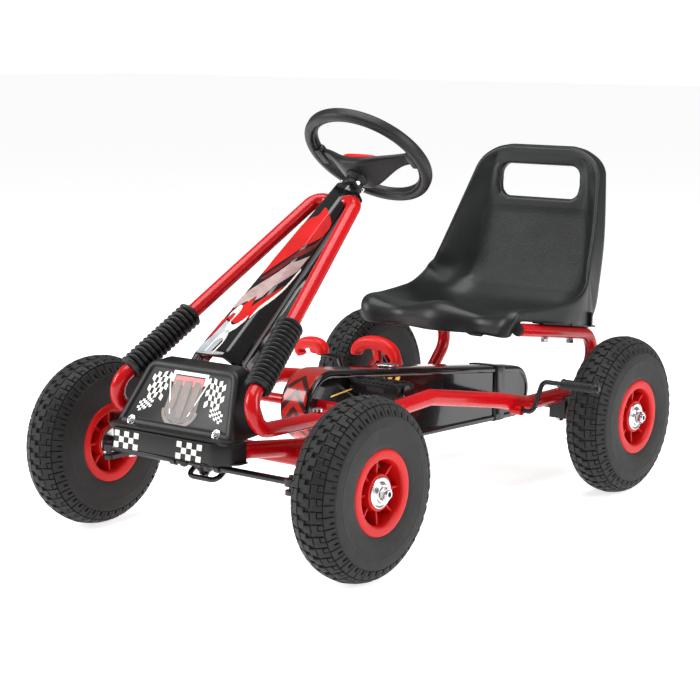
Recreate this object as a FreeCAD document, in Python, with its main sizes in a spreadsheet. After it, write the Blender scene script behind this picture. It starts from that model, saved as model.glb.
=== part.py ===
import FreeCAD, Part
import math
import os

# A child's pedal go kart.  Front is -Y, the rider's left is +X, up is +Z, and the ground is z = 0.
# Every dimension is in millimetres.  Lengths along the kart are given from the rear axle.

DIMENSIONS = {
    "rear_axle_y": 334.0,       # where the rear axle lies in the kart's own frame
    "wheelbase": 693.0,
    "front_track": 512.0,
    "rear_track": 518.0,
    "wheel_radius": 130.0,
    "tyre_half_width": 37.5,
    "crown_half_width": 29.0,
    "bead_radius": 56.2,
    "rim_barrel_radius": 56.0,
    "rim_flange_radius": 60.0,
    "rim_half_width": 35.0,
    "rim_ring_radius": 47.0,
    "rim_boss_radius": 26.0,
    "rim_web_half": 3.0,
    "rim_rib_count": 8.0,
    "rim_rib_width": 5.0,
    "rim_rib_height": 46.0,
    "hub_core_radius": 13.0,
    "hub_disc_radius": 22.0,
    "valve_radius": 3.2,
    "valve_length": 16.0,
    "rail_radius": 12.5,
    "rail_x": 150.0,
    "rail_bend": 34.0,
    "hoop_radius": 11.0,
    "hoop_bend": 30.0,
    "hoop_top_bend": 20.0,
    "cross_tube_radius": 8.0,
    "kingpin_x": 185.0,
    "kingpin_radius": 5.0,
    "kingpin_sleeve_radius": 12.0,
    "kingpin_sleeve_length": 46.0,
    "kingpin_sleeve_base": 127.0,
    "running_gap": 0.05,
    "stub_radius": 5.0,
    "axle_radius": 6.0,
    "axle_end_reach": 46.4,     # from a wheel's middle plane to the tip of its axle
    "nut_radius": 9.5,
    "nut_length": 8.0,
    "steering_axis_tilt": 49.12,
    "steering_wheel_z": 560.0,
    "steering_wheel_y": -352.0,
    "steering_ring_radius": 97.0,
    "steering_grip_radius": 10.0,
    "column_radius": 7.0,
    "column_length": 583.0,
    "column_sleeve_radius": 14.0,
    "crank_tip_reach": 24.0,
    "tie_rod_radius": 5.0,
    "tie_rod_z": 138.0,
    "steering_arm_reach": 55.0,
    "steering_arm_inset": 9.0,
    "crank_y": -338.0,
    "crank_z": 160.0,
    "crank_reach": 105.0,
    "crank_rise_angle": 31.0,
    "crank_axle_radius": 8.0,
    "crank_arm_width": 18.0,
    "crank_arm_thickness": 9.0,
    "crank_arm_x": 34.0,
    "pedal_start_x": 50.0,
    "pedal_width": 84.0,
    "pedal_depth": 42.0,
    "pedal_height": 22.0,
    "spindle_radius": 6.0,
    "chain_pitch": 12.7,
    "chainring_teeth": 24.0,
    "sprocket_teeth": 14.0,
    "sprocket_thickness": 2.6,
    "chain_half_width": 4.5,
    "cover_half_width": 28.0,
    "cover_wall": 3.0,
    "cover_joint_y": -8.0,
    "strap_width": 28.0,
    "seat_rail_radius": 11.0,
    "seat_rail_bend": 40.0,
    "seat_wall": 5.0,
    "seat_slot_half_width": 82.0,
    "seat_slot_height": 58.0,
    "seat_slot_z": 495.0,
    "bellows_radius": 20.0,
    "bellows_root_radius": 15.5,
    "bellows_folds": 15.0,
    "bellows_pitch": 8.8,
    "bellows_start": 283.0,
    "brake_rod_radius": 4.0,
    "grip_radius": 8.5,
    "grip_length": 66.0,
    "lever_pivot_y": -165.0,
    "lever_pivot_z": 150.0,
    "bracket_width": 30.0,
    "bearing_thickness": 4.0,
    "bumper_half_width": 94.0,
    "bumper_height": 30.0,
    "plate_thickness": 3.0,
    "screw_radius": 5.0,
    "screw_length": 4.0,
}

X = FreeCAD.Vector(1, 0, 0)
Y = FreeCAD.Vector(0, 1, 0)
Z = FreeCAD.Vector(0, 0, 1)
SIDES = (("left", 1), ("right", -1))

doc = FreeCAD.newDocument("pedal_go_kart")
sheet = doc.addObject("Spreadsheet::Sheet", "dims")
nodes = []


# ---------------------------------------------------------------- helpers

def fill_sheet():
    for row, (alias, value) in enumerate(DIMENSIONS.items(), start=1):
        sheet.set(f"A{row}", alias)
        sheet.set(f"B{row}", str(value))
        sheet.setAlias(f"B{row}", alias)
    doc.recompute()


def mm(alias):
    return float(getattr(sheet, alias))


def at(x, y, z):
    """A point whose y is measured from the rear axle."""
    return FreeCAD.Vector(x, y + mm("rear_axle_y"), z)


def bind(item, **formulas):
    for name, formula in formulas.items():
        item.setExpression(name, formula)


def keep(item, label):
    """Name a finished sub-part and list it for the files that are written at the end."""
    item.Label = label
    nodes.append(item)


def kept(label):
    return next(item for item in nodes if item.Label == label)


def turned(point, direction):
    """The placement that puts an item's own Z axis along direction."""
    return FreeCAD.Placement(point, FreeCAD.Rotation(Z, direction))


def cylinder(name, start, direction, radius, length):
    item = doc.addObject("Part::Cylinder", name)
    bind(item, Radius=radius, Height=length)
    item.Placement = turned(start, direction)
    return item


def box(name, corner, length, width, height, rotation=FreeCAD.Rotation()):
    item = doc.addObject("Part::Box", name)
    bind(item, Length=length, Width=width, Height=height)
    item.Placement = FreeCAD.Placement(corner, rotation)
    return item


def sphere(name, centre, radius):
    """A ball whose seam is turned a quarter away from X, where the rods that join it run."""
    item = doc.addObject("Part::Sphere", name)
    bind(item, Radius=radius)
    item.Placement = FreeCAD.Placement(centre, FreeCAD.Rotation(Z, 90))
    return item


def hex_nut(name, start, direction, radius, length):
    item = doc.addObject("Part::Prism", name)
    item.Polygon = 6
    bind(item, Circumradius=radius, Height=length)
    item.Placement = turned(start, direction)
    return item


def fuse(name, parts):
    item = doc.addObject("Part::MultiFuse", name)
    item.Shapes = parts
    item.Refine = False
    return item


def group(name, parts):
    """Separate solids of one kind that share a node."""
    item = doc.addObject("Part::Compound", name)
    item.Links = parts
    return item


def cut(name, base, tools):
    item = doc.addObject("Part::Cut", name)
    item.Base = base
    item.Tool = tools[0] if len(tools) == 1 else fuse(name + "_tools", tools)
    return item


def common(name, base, tool):
    item = doc.addObject("Part::Common", name)
    item.Base = base
    item.Tool = tool
    return item


def rounded_path(points, bends):
    """Straight runs through points, joined by tangent arcs with one radius for each corner."""
    edges = []
    start = points[0]
    for before, corner, after, bend in zip(points, points[1:], points[2:], bends):
        into = (corner - before).normalize()
        out = (after - corner).normalize()
        half_turn = into.getAngle(out) / 2
        reach = bend * math.tan(half_turn)
        first = corner - into * reach
        last = corner + out * reach
        to_centre = (out - into).normalize()
        middle = corner + to_centre * (bend / math.cos(half_turn) - bend)
        edges.append(Part.LineSegment(start, first).toShape())
        edges.append(Part.Arc(first, middle, last).toShape())
        start = last
    edges.append(Part.LineSegment(start, points[-1]).toShape())
    return Part.Wire(edges)


def tube(name, points, bends, radius):
    """A round bar swept along a path; bends is one radius or a list; radius is a formula."""
    if not isinstance(bends, (list, tuple)):
        bends = [bends] * (len(points) - 2)
    path = doc.addObject("Part::Feature", name + "_path")
    path.Shape = rounded_path(points, bends)
    ring = doc.addObject("Part::Circle", name + "_ring")
    bind(ring, Radius=radius)
    ring.Placement = turned(points[0], points[1] - points[0])
    item = doc.addObject("Part::Sweep", name)
    item.Sections = [ring]
    item.Spine = (path, [f"Edge{n + 1}" for n in range(len(path.Shape.Edges))])
    item.Solid = True
    item.Frenet = False
    return item


def polygon(name, points):
    item = doc.addObject("Part::Polygon", name)
    item.Nodes = points
    item.Close = True
    return item


def loft(name, outlines, ruled=True):
    item = doc.addObject("Part::Loft", name)
    item.Sections = [polygon(f"{name}_section_{n}", outline) for n, outline in enumerate(outlines)]
    item.Solid = True
    item.Ruled = ruled
    return item


def origin_part(body, role):
    return next(part for part in body.Origin.OriginFeatures if part.Role == role)


def sketch_on(body, role, name):
    sketch = body.newObject("Sketcher::SketchObject", name)
    sketch.AttachmentSupport = [(origin_part(body, role), "")]
    sketch.MapMode = "FlatFace"
    return sketch


def draw_outline(sketch, points):
    """A closed outline.  A point (u, v) starts a line; (u, v, mid_u, mid_v) starts an arc."""
    for here, after in zip(points, points[1:] + points[:1]):
        start = FreeCAD.Vector(here[0], here[1], 0)
        end = FreeCAD.Vector(after[0], after[1], 0)
        if len(here) == 4:
            sketch.addGeometry(Part.Arc(start, FreeCAD.Vector(here[2], here[3], 0), end), False)
        else:
            sketch.addGeometry(Part.LineSegment(start, end), False)


def revolved_body(name, points):
    """A body turned about its own Z axis from an outline of (radius, height) points."""
    body = doc.addObject("PartDesign::Body", name)
    sketch = sketch_on(body, "XZ_Plane", name + "_profile")
    draw_outline(sketch, points)
    turn = body.newObject("PartDesign::Revolution", name + "_turn")
    turn.Profile = sketch
    turn.ReferenceAxis = (sketch, ["V_Axis"])
    turn.Angle = 360
    body.Tip = turn
    return body


def belt_wire(circles):
    """The tight outline round circles (y, z, radius) that are listed in turning order."""
    contacts = []
    for (y1, z1, r1), (y2, z2, r2) in zip(circles, circles[1:] + circles[:1]):
        along = math.atan2(z2 - z1, y2 - y1)
        normal = along + math.acos((r1 - r2) / math.hypot(y2 - y1, z2 - z1))
        contacts.append((normal, at(0, y1 + r1 * math.cos(normal), z1 + r1 * math.sin(normal)),
                         at(0, y2 + r2 * math.cos(normal), z2 + r2 * math.sin(normal))))
    edges = []
    for n, (y, z, radius) in enumerate(circles):
        arriving, _, arc_start = contacts[n - 1]
        leaving, arc_end, line_end = contacts[n]
        sweep = (arriving - leaving) % (2 * math.pi)
        middle = arriving - sweep / 2
        arc_middle = at(0, y + radius * math.cos(middle), z + radius * math.sin(middle))
        edges.append(Part.Arc(arc_start, arc_middle, arc_end).toShape())
        edges.append(Part.LineSegment(arc_end, line_end).toShape())
    return Part.Wire(edges)


def belt_slab(name, circles, thickness):
    """A slab across the kart's middle with a belt outline; thickness is a formula."""
    outline = doc.addObject("Part::Feature", name + "_outline")
    outline.Shape = belt_wire(circles)
    item = doc.addObject("Part::Extrusion", name)
    item.Base = outline
    item.DirMode = "Custom"
    item.Dir = X
    item.Symmetric = True
    item.Solid = True
    bind(item, LengthFwd=thickness)
    return item


def steering_direction():
    """The unit vector up the steering column, towards the rider."""
    tilt = math.radians(mm("steering_axis_tilt"))
    return FreeCAD.Vector(0, math.cos(tilt), math.sin(tilt))


def column_point(distance, lift=0.0, x=0.0):
    """A point on the column, at a distance up from the wheel's middle, lifted forward off the axis."""
    up = steering_direction()
    forward = FreeCAD.Vector(0, -up.z, up.y)
    middle = at(x, mm("steering_wheel_y"), mm("steering_wheel_z"))
    return middle + up * distance + forward * lift


# ---------------------------------------------------------------- frame

def rail_points():
    """The bent rail from the left end, round the front, to the right end."""
    half = [(0.667, -790, 178), (0.787, -650, 163), (1.0, -462, 197), (1.0, -387, 201),
            (1.0, -193, 168), (1.0, -114, 151), (1.0, 27, 151)]
    left = [at(share * mm("rail_x"), y, z) for share, y, z in half]
    right = [at(-share * mm("rail_x"), y, z) for share, y, z in half]
    return left[::-1] + right


def make_main_frame():
    kingpin = mm("kingpin_x")
    front = -mm("wheelbase")
    sleeve_z = mm("kingpin_sleeve_base")
    rails = tube("rails", rail_points(), mm("rail_bend"), "dims.rail_radius")
    beam = tube("front_beam", [at(x, front + dy, z) for x, dy, z in
                               ((kingpin, 0, 150), (kingpin - 34, 19, 153),
                                (34 - kingpin, 19, 153), (-kingpin, 0, 150))], 30, "dims.rail_radius")
    parts = [rails, beam]
    holes = []
    for side, sign in SIDES:
        parts.append(cylinder(f"kingpin_sleeve_{side}", at(sign * kingpin, front, sleeve_z), Z,
                              "dims.kingpin_sleeve_radius", "dims.kingpin_sleeve_length"))
        holes.append(cylinder(f"kingpin_bore_{side}", at(sign * kingpin, front, sleeve_z - 20), Z,
                              "dims.kingpin_radius", "dims.kingpin_sleeve_length + 40"))
        pivot = at(sign * 155, mm("lever_pivot_y"), mm("lever_pivot_z"))
        parts.append(cylinder(f"lever_boss_{side}", pivot, X * sign, "2 * dims.brake_rod_radius", "20"))
        holes.append(cylinder(f"lever_bore_{side}", pivot + X * sign * 5, X * sign,
                              "dims.brake_rod_radius + dims.running_gap", "30"))
    for name, y, z, reach in (("front", -500, 190, 144), ("rear", -140, 150, 150)):
        parts.append(cylinder(f"{name}_cross_tube", at(-reach, y, z), X,
                              "dims.cross_tube_radius", f"{2 * reach}"))
    for side, sign in SIDES:
        bar = box(f"carrier_bar_{side}", at(sign * 20 - 2, -500, 175), "4", "364", "28",
                  FreeCAD.Rotation(X, -6.3))
        parts.append(bar)
        parts.append(cylinder(f"carrier_boss_{side}", at(sign * 20 - 2, mm("crank_y"), mm("crank_z")), X,
                              "20", "4"))
    holes.append(cylinder("crank_bearing_seat", at(-30, mm("crank_y"), mm("crank_z")), X, "14", "60"))
    keep(cut("main_frame", fuse("frame_welded", parts), holes), "main_frame")


def hoop_leg_ends(sign):
    """The corners at the top and the bottom of one sloping leg."""
    return at(sign * 38, -427, 497.6), at(sign * 140, -832, 209)


def make_hoop():
    up = steering_direction()
    parts = []
    for side, sign in SIDES:
        shoulder, toe = hoop_leg_ends(sign)
        points = [at(sign * 6, -431, 488.6), shoulder, toe, at(sign * 118, -575, 197.5)]
        bends = (mm("hoop_top_bend"), mm("hoop_bend"))
        parts.append(tube(f"hoop_leg_{side}", points, bends, "dims.hoop_radius"))
    parts.append(cylinder("upper_sleeve", column_point(-118), up, "dims.column_sleeve_radius", "34"))
    bore = cylinder("upper_bore", column_point(-140), up, "dims.column_radius + dims.running_gap", "110")
    keep(cut("steering_hoop", fuse("hoop_welded", parts), [bore]), "steering_hoop")


def make_bellows():
    pitch = mm("bellows_pitch")
    bore = mm("hoop_radius") + mm("running_gap")
    for side, sign in SIDES:
        shoulder, toe = hoop_leg_ends(sign)
        down = (toe - shoulder).normalize()
        top = shoulder + down * mm("bellows_start")
        outline = [(bore, 0)]
        for fold in range(int(mm("bellows_folds"))):
            outline.append((mm("bellows_root_radius"), fold * pitch + 0.5))
            outline.append((mm("bellows_radius"), fold * pitch + 3.2))
            outline.append((mm("bellows_radius"), fold * pitch + 5.8))
            outline.append((mm("bellows_root_radius"), fold * pitch + 8.4))
        outline.append((bore, int(mm("bellows_folds")) * pitch))
        body = revolved_body(f"bellows_body_{side}", outline)
        body.Placement = turned(top, down)
        keep(body, f"bellows_{side}")


def make_column_hanger():
    points = [at(-28, -684, 148), at(-28, -737, 115.3), at(28, -737, 115.3), at(28, -684, 148)]
    rod = tube("hanger_rod", points, 12, "dims.brake_rod_radius")
    keep(cut("column_hanger", rod, [kept("main_frame")]), "column_hanger")


def make_axle_supports():
    brackets = []
    bearings = []
    frame = kept("main_frame")
    half = mm("bracket_width") / 2
    thickness = mm("bearing_thickness")
    for side, sign in SIDES:
        corner = at(sign * mm("rail_x") - half, -17, 112)
        block = box(f"bracket_block_{side}", corner, "dims.bracket_width", "34", "38")
        bore = cylinder(f"bracket_bore_{side}", at(sign * mm("rail_x") - 30, 0, mm("wheel_radius")), X,
                        "dims.axle_radius + dims.running_gap", "60")
        brackets.append(cut(f"bracket_{side}", block, [bore, frame]))
        for place, start in (("low", -half - thickness), ("high", half)):
            seat = at(sign * mm("rail_x") + start, 0, mm("wheel_radius"))
            ring = cylinder(f"bearing_ring_{place}_{side}", seat, X, "11", "dims.bearing_thickness")
            hole = cylinder(f"bearing_hole_{place}_{side}", seat - X, X,
                            "dims.axle_radius + dims.running_gap", "dims.bearing_thickness + 2")
            bearings.append(cut(f"bearing_{place}_{side}", ring, [hole, frame]))
    keep(group("axle_brackets", brackets), "axle_brackets")
    keep(group("axle_bearings", bearings), "axle_bearings")


def make_kingpins():
    pins = []
    for side, sign in SIDES:
        foot = at(sign * mm("kingpin_x"), -mm("wheelbase"), 117)
        pin = cylinder(f"kingpin_shank_{side}", foot, Z, "dims.kingpin_radius", "66")
        head = cylinder(f"kingpin_head_{side}", foot + Z * 63, Z, "9", "5")
        nut = hex_nut(f"kingpin_nut_{side}", foot - Z * 3, Z, "9", "6")
        pins.append(fuse(f"kingpin_{side}", [pin, head, nut]))
    keep(group("kingpins", pins), "kingpins")


# ---------------------------------------------------------------- covers

def make_nose():
    outer = loft("nose_outer", [
        [at(-112, -800, 191.5), at(112, -800, 191.5), at(104, -712, 191.5), at(-104, -712, 191.5)],
        [at(-84, -752, 284), at(84, -752, 284), at(82, -727, 284), at(-82, -727, 284)]])
    inner = loft("nose_inner", [
        [at(-109, -797, 191), at(109, -797, 191), at(101, -700, 191), at(-101, -700, 191)],
        [at(-81, -748.5, 281), at(81, -748.5, 281), at(77, -700, 281), at(-77, -700, 281)]])
    keep(cut("nose_shell", outer, [inner]), "nose_shell")


def make_bumper():
    half = mm("bumper_half_width")
    front = at(-half, -818, 160)
    plate = box("bumper_face", front, "2 * dims.bumper_half_width", "dims.plate_thickness",
                "dims.bumper_height")
    parts = [plate]
    for side, sign in SIDES:
        corner = at(sign * half - (mm("plate_thickness") if sign > 0 else 0), -818, 160)
        parts.append(box(f"bumper_wrap_{side}", corner, "dims.plate_thickness", "22", "dims.bumper_height"))
    parts.append(box("bumper_sill", front, "2 * dims.bumper_half_width", "22", "dims.plate_thickness"))
    keep(cut("bumper_plate", fuse("bumper_folded", parts), [kept("main_frame")]), "bumper_plate")


def make_panel_screws():
    screws = []
    slope = FreeCAD.Vector(0, -0.889, 0.458)
    for side, sign in SIDES:
        screws.append(cylinder(f"nose_screw_{side}", at(sign * 81, -796.8, 199), slope,
                               "dims.screw_radius", "dims.screw_length"))
    keep(group("panel_screws", screws), "panel_screws")


def cover_section(y, z, half_width, depth, wall):
    """One cross-section of the column cover: a channel with gently bevelled edges, open below."""
    out = FreeCAD.Vector(0, -0.594, 0.804)
    middle = at(0, y, z)
    flat = 0.52 * half_width
    drop = 0.42 * (half_width - flat)
    outer = [(half_width, -depth), (half_width, -drop), (flat, 0)]
    inner = [(flat - 0.2 * wall, -wall), (half_width - wall, -drop - 0.665 * wall),
             (half_width - wall, -depth)]
    right = [middle + X * u + out * v for u, v in outer]
    left = [middle - X * u + out * v for u, v in outer]
    inner_left = [middle - X * u + out * v for u, v in inner]
    inner_right = [middle + X * u + out * v for u, v in inner]
    return right + left[::-1] + inner_left[::-1] + inner_right


def make_steering_cover():
    stations = ((-416.7, 517.3, 18, 30), (-560, 411.5, 30, 42), (-722, 292, 43, 42))
    outlines = [cover_section(y, z, half, depth, mm("cover_wall")) for y, z, half, depth in stations]
    keep(cut("steering_cover", loft("cover_channel", outlines), [kept("steering_hoop")]), "steering_cover")


def cover_circles(growth):
    return [(-475, 182, 57 + growth), (42, 134, 45 + growth), (mm("crank_y"), mm("crank_z"), 59 + growth)]


def make_chain_cover():
    outer = belt_slab("cover_outer", cover_circles(0), "2 * dims.cover_half_width")
    inner = belt_slab("cover_inner", cover_circles(-mm("cover_wall")),
                      "2 * (dims.cover_half_width - dims.cover_wall)")
    crank_hole = cylinder("cover_crank_hole", at(-40, mm("crank_y"), mm("crank_z")), X,
                          "dims.crank_axle_radius + 3", "80")
    axle_hole = cylinder("cover_axle_hole", at(-40, 0, mm("wheel_radius")), X, "dims.axle_radius + 3", "80")
    shell = cut("cover_shell", outer, [inner, crank_hole, axle_hole, kept("main_frame")])
    joint = mm("cover_joint_y")
    front_half = box("cover_front_half", at(-60, -600, 50), "120", f"{600 + joint}", "250")
    rear_half = box("cover_rear_half", at(-60, joint, 50), "120", "200", "250")
    keep(common("chain_cover_front", shell, front_half), "chain_cover_front")
    keep(common("chain_cover_rear", shell, rear_half), "chain_cover_rear")
    strap_outer = belt_slab("strap_outer", cover_circles(2), "2 * dims.cover_half_width + 4")
    strap_inner = belt_slab("strap_inner", cover_circles(0), "2 * dims.cover_half_width")
    strap_zone = box("strap_zone", at(-60, joint - mm("strap_width") / 2, 50), "120",
                     "dims.strap_width", "250")
    strap_ring = cut("strap_ring", strap_outer, [strap_inner, axle_hole])
    keep(common("chain_cover_strap", strap_ring, strap_zone), "chain_cover_strap")


# ---------------------------------------------------------------- chain drive

def pitch_radius(teeth):
    return mm("chain_pitch") / (2 * math.sin(math.pi / teeth))


def toothed_wheel(name, teeth, bore):
    """A sprocket turned about its own Z axis, with a round gap between its teeth for each roller."""
    radius = pitch_radius(teeth)
    body = doc.addObject("PartDesign::Body", name)
    disc_sketch = sketch_on(body, "XY_Plane", name + "_disc_sketch")
    disc_sketch.addGeometry(Part.Circle(FreeCAD.Vector(), Z, radius + 3), False)
    disc_sketch.addGeometry(Part.Circle(FreeCAD.Vector(), Z, bore), False)
    disc = body.newObject("PartDesign::Pad", name + "_disc")
    disc.Profile = disc_sketch
    disc.Midplane = True
    bind(disc, Length="dims.sprocket_thickness")
    gap_sketch = sketch_on(body, "XY_Plane", name + "_gap_sketch")
    gap_sketch.addGeometry(Part.Circle(FreeCAD.Vector(radius, 0, 0), Z, 4.0), False)
    gap = body.newObject("PartDesign::Pocket", name + "_gap")
    gap.Profile = gap_sketch
    gap.Midplane = True
    gap.Length = 20
    pattern = body.newObject("PartDesign::PolarPattern", name + "_teeth")
    pattern.Originals = [gap]
    pattern.Axis = (gap_sketch, ["N_Axis"])
    pattern.Angle = 360
    pattern.Occurrences = int(teeth)
    body.Tip = pattern
    return body


def make_chain():
    front = pitch_radius(mm("chainring_teeth"))
    rear = pitch_radius(mm("sprocket_teeth"))

    def circles(growth):
        return [(mm("crank_y"), mm("crank_z"), front + growth), (0, mm("wheel_radius"), rear + growth)]

    outer = belt_slab("chain_outer", circles(4.6), "2 * dims.chain_half_width")
    middle = belt_slab("chain_middle", circles(-3.6), "2 * dims.chain_half_width + 4")
    slot = belt_slab("chain_slot", circles(3.4), "2 * dims.sprocket_thickness")
    keep(cut("chain", outer, [middle, slot]), "chain")


def make_crank_bearings():
    rings = []
    for side, sign in SIDES:
        start = at(sign * 20 - 3.5, mm("crank_y"), mm("crank_z"))
        ring = cylinder(f"crank_ring_{side}", start, X, "14", "7")
        hole = cylinder(f"crank_ring_hole_{side}", start - X, X, "dims.crank_axle_radius + dims.running_gap",
                        "9")
        rings.append(cut(f"crank_bearing_{side}", ring, [hole]))
    keep(group("crank_bearings", rings), "crank_bearings")


def pedal_centre(sign):
    """The middle of a pedal's spindle: forward and up on the left, the opposite on the right."""
    rise = math.radians(mm("crank_rise_angle"))
    forward = -sign * mm("crank_reach") * math.cos(rise)
    return at(0, mm("crank_y") + forward, mm("crank_z") + sign * mm("crank_reach") * math.sin(rise))


def make_crank():
    hub = at(0, mm("crank_y"), mm("crank_z"))
    arm_x = mm("crank_arm_x")
    thickness = mm("crank_arm_thickness")
    outer = arm_x + thickness
    parts = [cylinder("crank_shaft", hub - X * outer, X, "dims.crank_axle_radius",
                      "2 * (dims.crank_arm_x + dims.crank_arm_thickness)")]
    for side, sign in SIDES:
        eye = pedal_centre(sign)
        along = (eye - hub).normalize()
        across = X.cross(along)
        rotation = FreeCAD.Rotation(along, across, X, "XYZ")
        start = arm_x if sign > 0 else -outer
        corner = hub + X * start - across * mm("crank_arm_width") / 2
        parts.append(box(f"crank_arm_{side}", corner, "dims.crank_reach", "dims.crank_arm_width",
                         "dims.crank_arm_thickness", rotation))
        for end, centre in (("hub", hub), ("eye", eye)):
            parts.append(cylinder(f"crank_{end}_{side}", centre + X * start, X,
                                  "dims.crank_arm_width / 2", "dims.crank_arm_thickness"))
        parts.append(cylinder(f"spindle_{side}", eye + X * sign * (outer - 1), X * sign,
                              "dims.spindle_radius", "dims.pedal_width + 10"))
        parts.append(cylinder(f"spindle_cap_{side}", eye + X * sign * 134.5, X * sign,
                              "dims.spindle_radius + 3", "2.5"))
    keep(fuse("crank_axle", parts), "crank_axle")
    ring = toothed_wheel("chainring_body", mm("chainring_teeth"), mm("crank_axle_radius"))
    ring.Placement = turned(hub, X)
    keep(ring, "chainring")


def make_pedals():
    for side, sign in SIDES:
        eye = pedal_centre(sign)
        start = mm("pedal_start_x") if sign > 0 else -mm("pedal_start_x") - mm("pedal_width")
        corner = eye + FreeCAD.Vector(start, -mm("pedal_depth") / 2, -mm("pedal_height") / 2)
        block = box(f"pedal_block_{side}", corner, "dims.pedal_width", "dims.pedal_depth", "dims.pedal_height")
        bore = cylinder(f"pedal_bore_{side}", eye + X * (start - 5), X,
                        "dims.spindle_radius + dims.running_gap", "dims.pedal_width + 10")
        tools = [bore]
        for n in range(5):
            for level, z in (("top", mm("pedal_height") / 2 - 2.5), ("base", -mm("pedal_height") / 2 - 0.5)):
                groove = corner + FreeCAD.Vector(12 + 13 * n, -1, mm("pedal_height") / 2 + z)
                tools.append(box(f"pedal_groove_{side}_{level}_{n}", groove, "5", "dims.pedal_depth + 2", "3"))
        keep(cut(f"pedal_{side}", block, tools), f"pedal_{side}")


def make_rear_axle():
    reach = mm("rear_track") / 2 + mm("axle_end_reach")
    shaft = cylinder("axle_shaft", at(-reach, 0, mm("wheel_radius")), X, "dims.axle_radius",
                     "dims.rear_track + 2 * dims.axle_end_reach")
    parts = [shaft]
    for side, sign in SIDES:
        parts.append(cylinder(f"axle_spacer_{side}", at(sign * 170, 0, mm("wheel_radius")), X * sign,
                              "dims.axle_radius + 3", "dims.rear_track / 2 - 31.5 - 170"))
    keep(fuse("rear_axle", parts), "rear_axle")
    sprocket = toothed_wheel("sprocket_body", mm("sprocket_teeth"), mm("axle_radius"))
    sprocket.Placement = turned(at(0, 0, mm("wheel_radius")), X)
    keep(sprocket, "rear_sprocket")


# ---------------------------------------------------------------- wheels

def tyre_outline():
    """Half-open tyre section: (radius, offset) with arcs for the sidewalls and the crown."""
    radius = mm("wheel_radius")
    half = mm("tyre_half_width")
    crown = mm("crown_half_width")
    bead = mm("bead_radius")
    return [(bead, 24), (bead, 30.8), (61, 31.0), (66, half - 2, 97, half), (radius - 9, crown, radius, 0),
            (radius - 9, -crown, 97, -half), (66, 2 - half), (61, -31.0), (bead, -30.8), (bead, -24),
            (64, -26, 96, -half + 7), (radius - 15, 7 - crown, radius - 8, 0),
            (radius - 15, crown - 7, 96, half - 7), (64, 26)]


def rim_outline():
    half = mm("rim_half_width")
    flange = mm("rim_flange_radius")
    barrel = mm("rim_barrel_radius")
    ring = mm("rim_ring_radius")
    boss = mm("rim_boss_radius")
    web = mm("rim_web_half")
    core = mm("hub_core_radius")
    upper = [(barrel, 31), (flange, 31.3), (flange, half), (ring, half), (ring - 3, web), (boss, web),
             (boss, 30), (core, 30)]
    lower = [(radius, -offset) for radius, offset in reversed(upper)]
    return upper + lower


def make_rim(name):
    body = revolved_body(name + "_body", rim_outline())
    rib_sketch = sketch_on(body, "XY_Plane", name + "_rib_sketch")
    inner = mm("rim_boss_radius") - 1
    outer = mm("rim_ring_radius") - 1
    half = mm("rim_rib_width") / 2
    draw_outline(rib_sketch, [(inner, -half), (outer, -half), (outer, half), (inner, half)])
    rib = body.newObject("PartDesign::Pad", name + "_rib")
    rib.Profile = rib_sketch
    rib.Midplane = True
    bind(rib, Length="dims.rim_rib_height")
    pattern = body.newObject("PartDesign::PolarPattern", name + "_ribs")
    pattern.Originals = [rib]
    pattern.Axis = (rib_sketch, ["N_Axis"])
    pattern.Angle = 360
    bind(pattern, Occurrences="dims.rim_rib_count")
    body.Tip = pattern
    return body


def hub_outline(bore):
    disc = mm("hub_disc_radius")
    core = mm("hub_core_radius")
    return [(bore, -31.5), (disc, -31.5), (disc, -30), (core, -30), (core, 30), (disc, 30), (disc, 32.5),
            (core, 32.5), (core, 36), (bore, 36)]


def make_valve(name, centre, outward):
    """A rubber valve stem that leans out of the rim's recess."""
    radial = Z * math.cos(math.pi / 8) + Y * math.sin(math.pi / 8)
    lean = (outward * 0.95 - radial * 0.3).normalize()
    foot = centre + radial * 39 + outward * 4
    return cylinder(name, foot, lean, "dims.valve_radius", "dims.valve_length")


def make_wheel(prefix, centre, outward, bore):
    for part, body in (("tyre", revolved_body(prefix + "_tyre_body", tyre_outline())),
                       ("rim", make_rim(prefix + "_rim")),
                       ("hub", revolved_body(prefix + "_hub_body", hub_outline(bore)))):
        body.Placement = turned(centre, outward)
        keep(body, f"{prefix}_{part}")


def wheel_nut(name, centre, outward, bore):
    start = centre + outward * 36.2
    nut = hex_nut(name + "_hex", start, outward, "dims.nut_radius", "dims.nut_length")
    hole = cylinder(name + "_hole", start - outward, outward, bore, "dims.nut_length + 2")
    return cut(name, nut, [hole])


def make_wheels():
    radius = mm("wheel_radius")
    rear_valves = []
    rear_nuts = []
    for side, sign in SIDES:
        outward = X * sign
        front = at(sign * mm("front_track") / 2, -mm("wheelbase"), radius)
        rear = at(sign * mm("rear_track") / 2, 0, radius)
        make_wheel(f"front_{side}", front, outward, mm("stub_radius") + mm("running_gap"))
        make_wheel(f"rear_{side}", rear, outward, mm("axle_radius"))
        keep(make_valve(f"front_valve_{side}", front, outward), f"front_{side}_valve")
        rear_valves.append(make_valve(f"rear_valve_{side}", rear, outward))
        keep(wheel_nut(f"front_nut_{side}", front, outward, "dims.stub_radius"), f"front_{side}_nut")
        rear_nuts.append(wheel_nut(f"rear_nut_{side}", rear, outward, "dims.axle_radius"))
    keep(group("rear_valves", rear_valves), "rear_valves")
    keep(group("rear_nuts", rear_nuts), "rear_wheel_nuts")


# ---------------------------------------------------------------- steering

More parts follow.
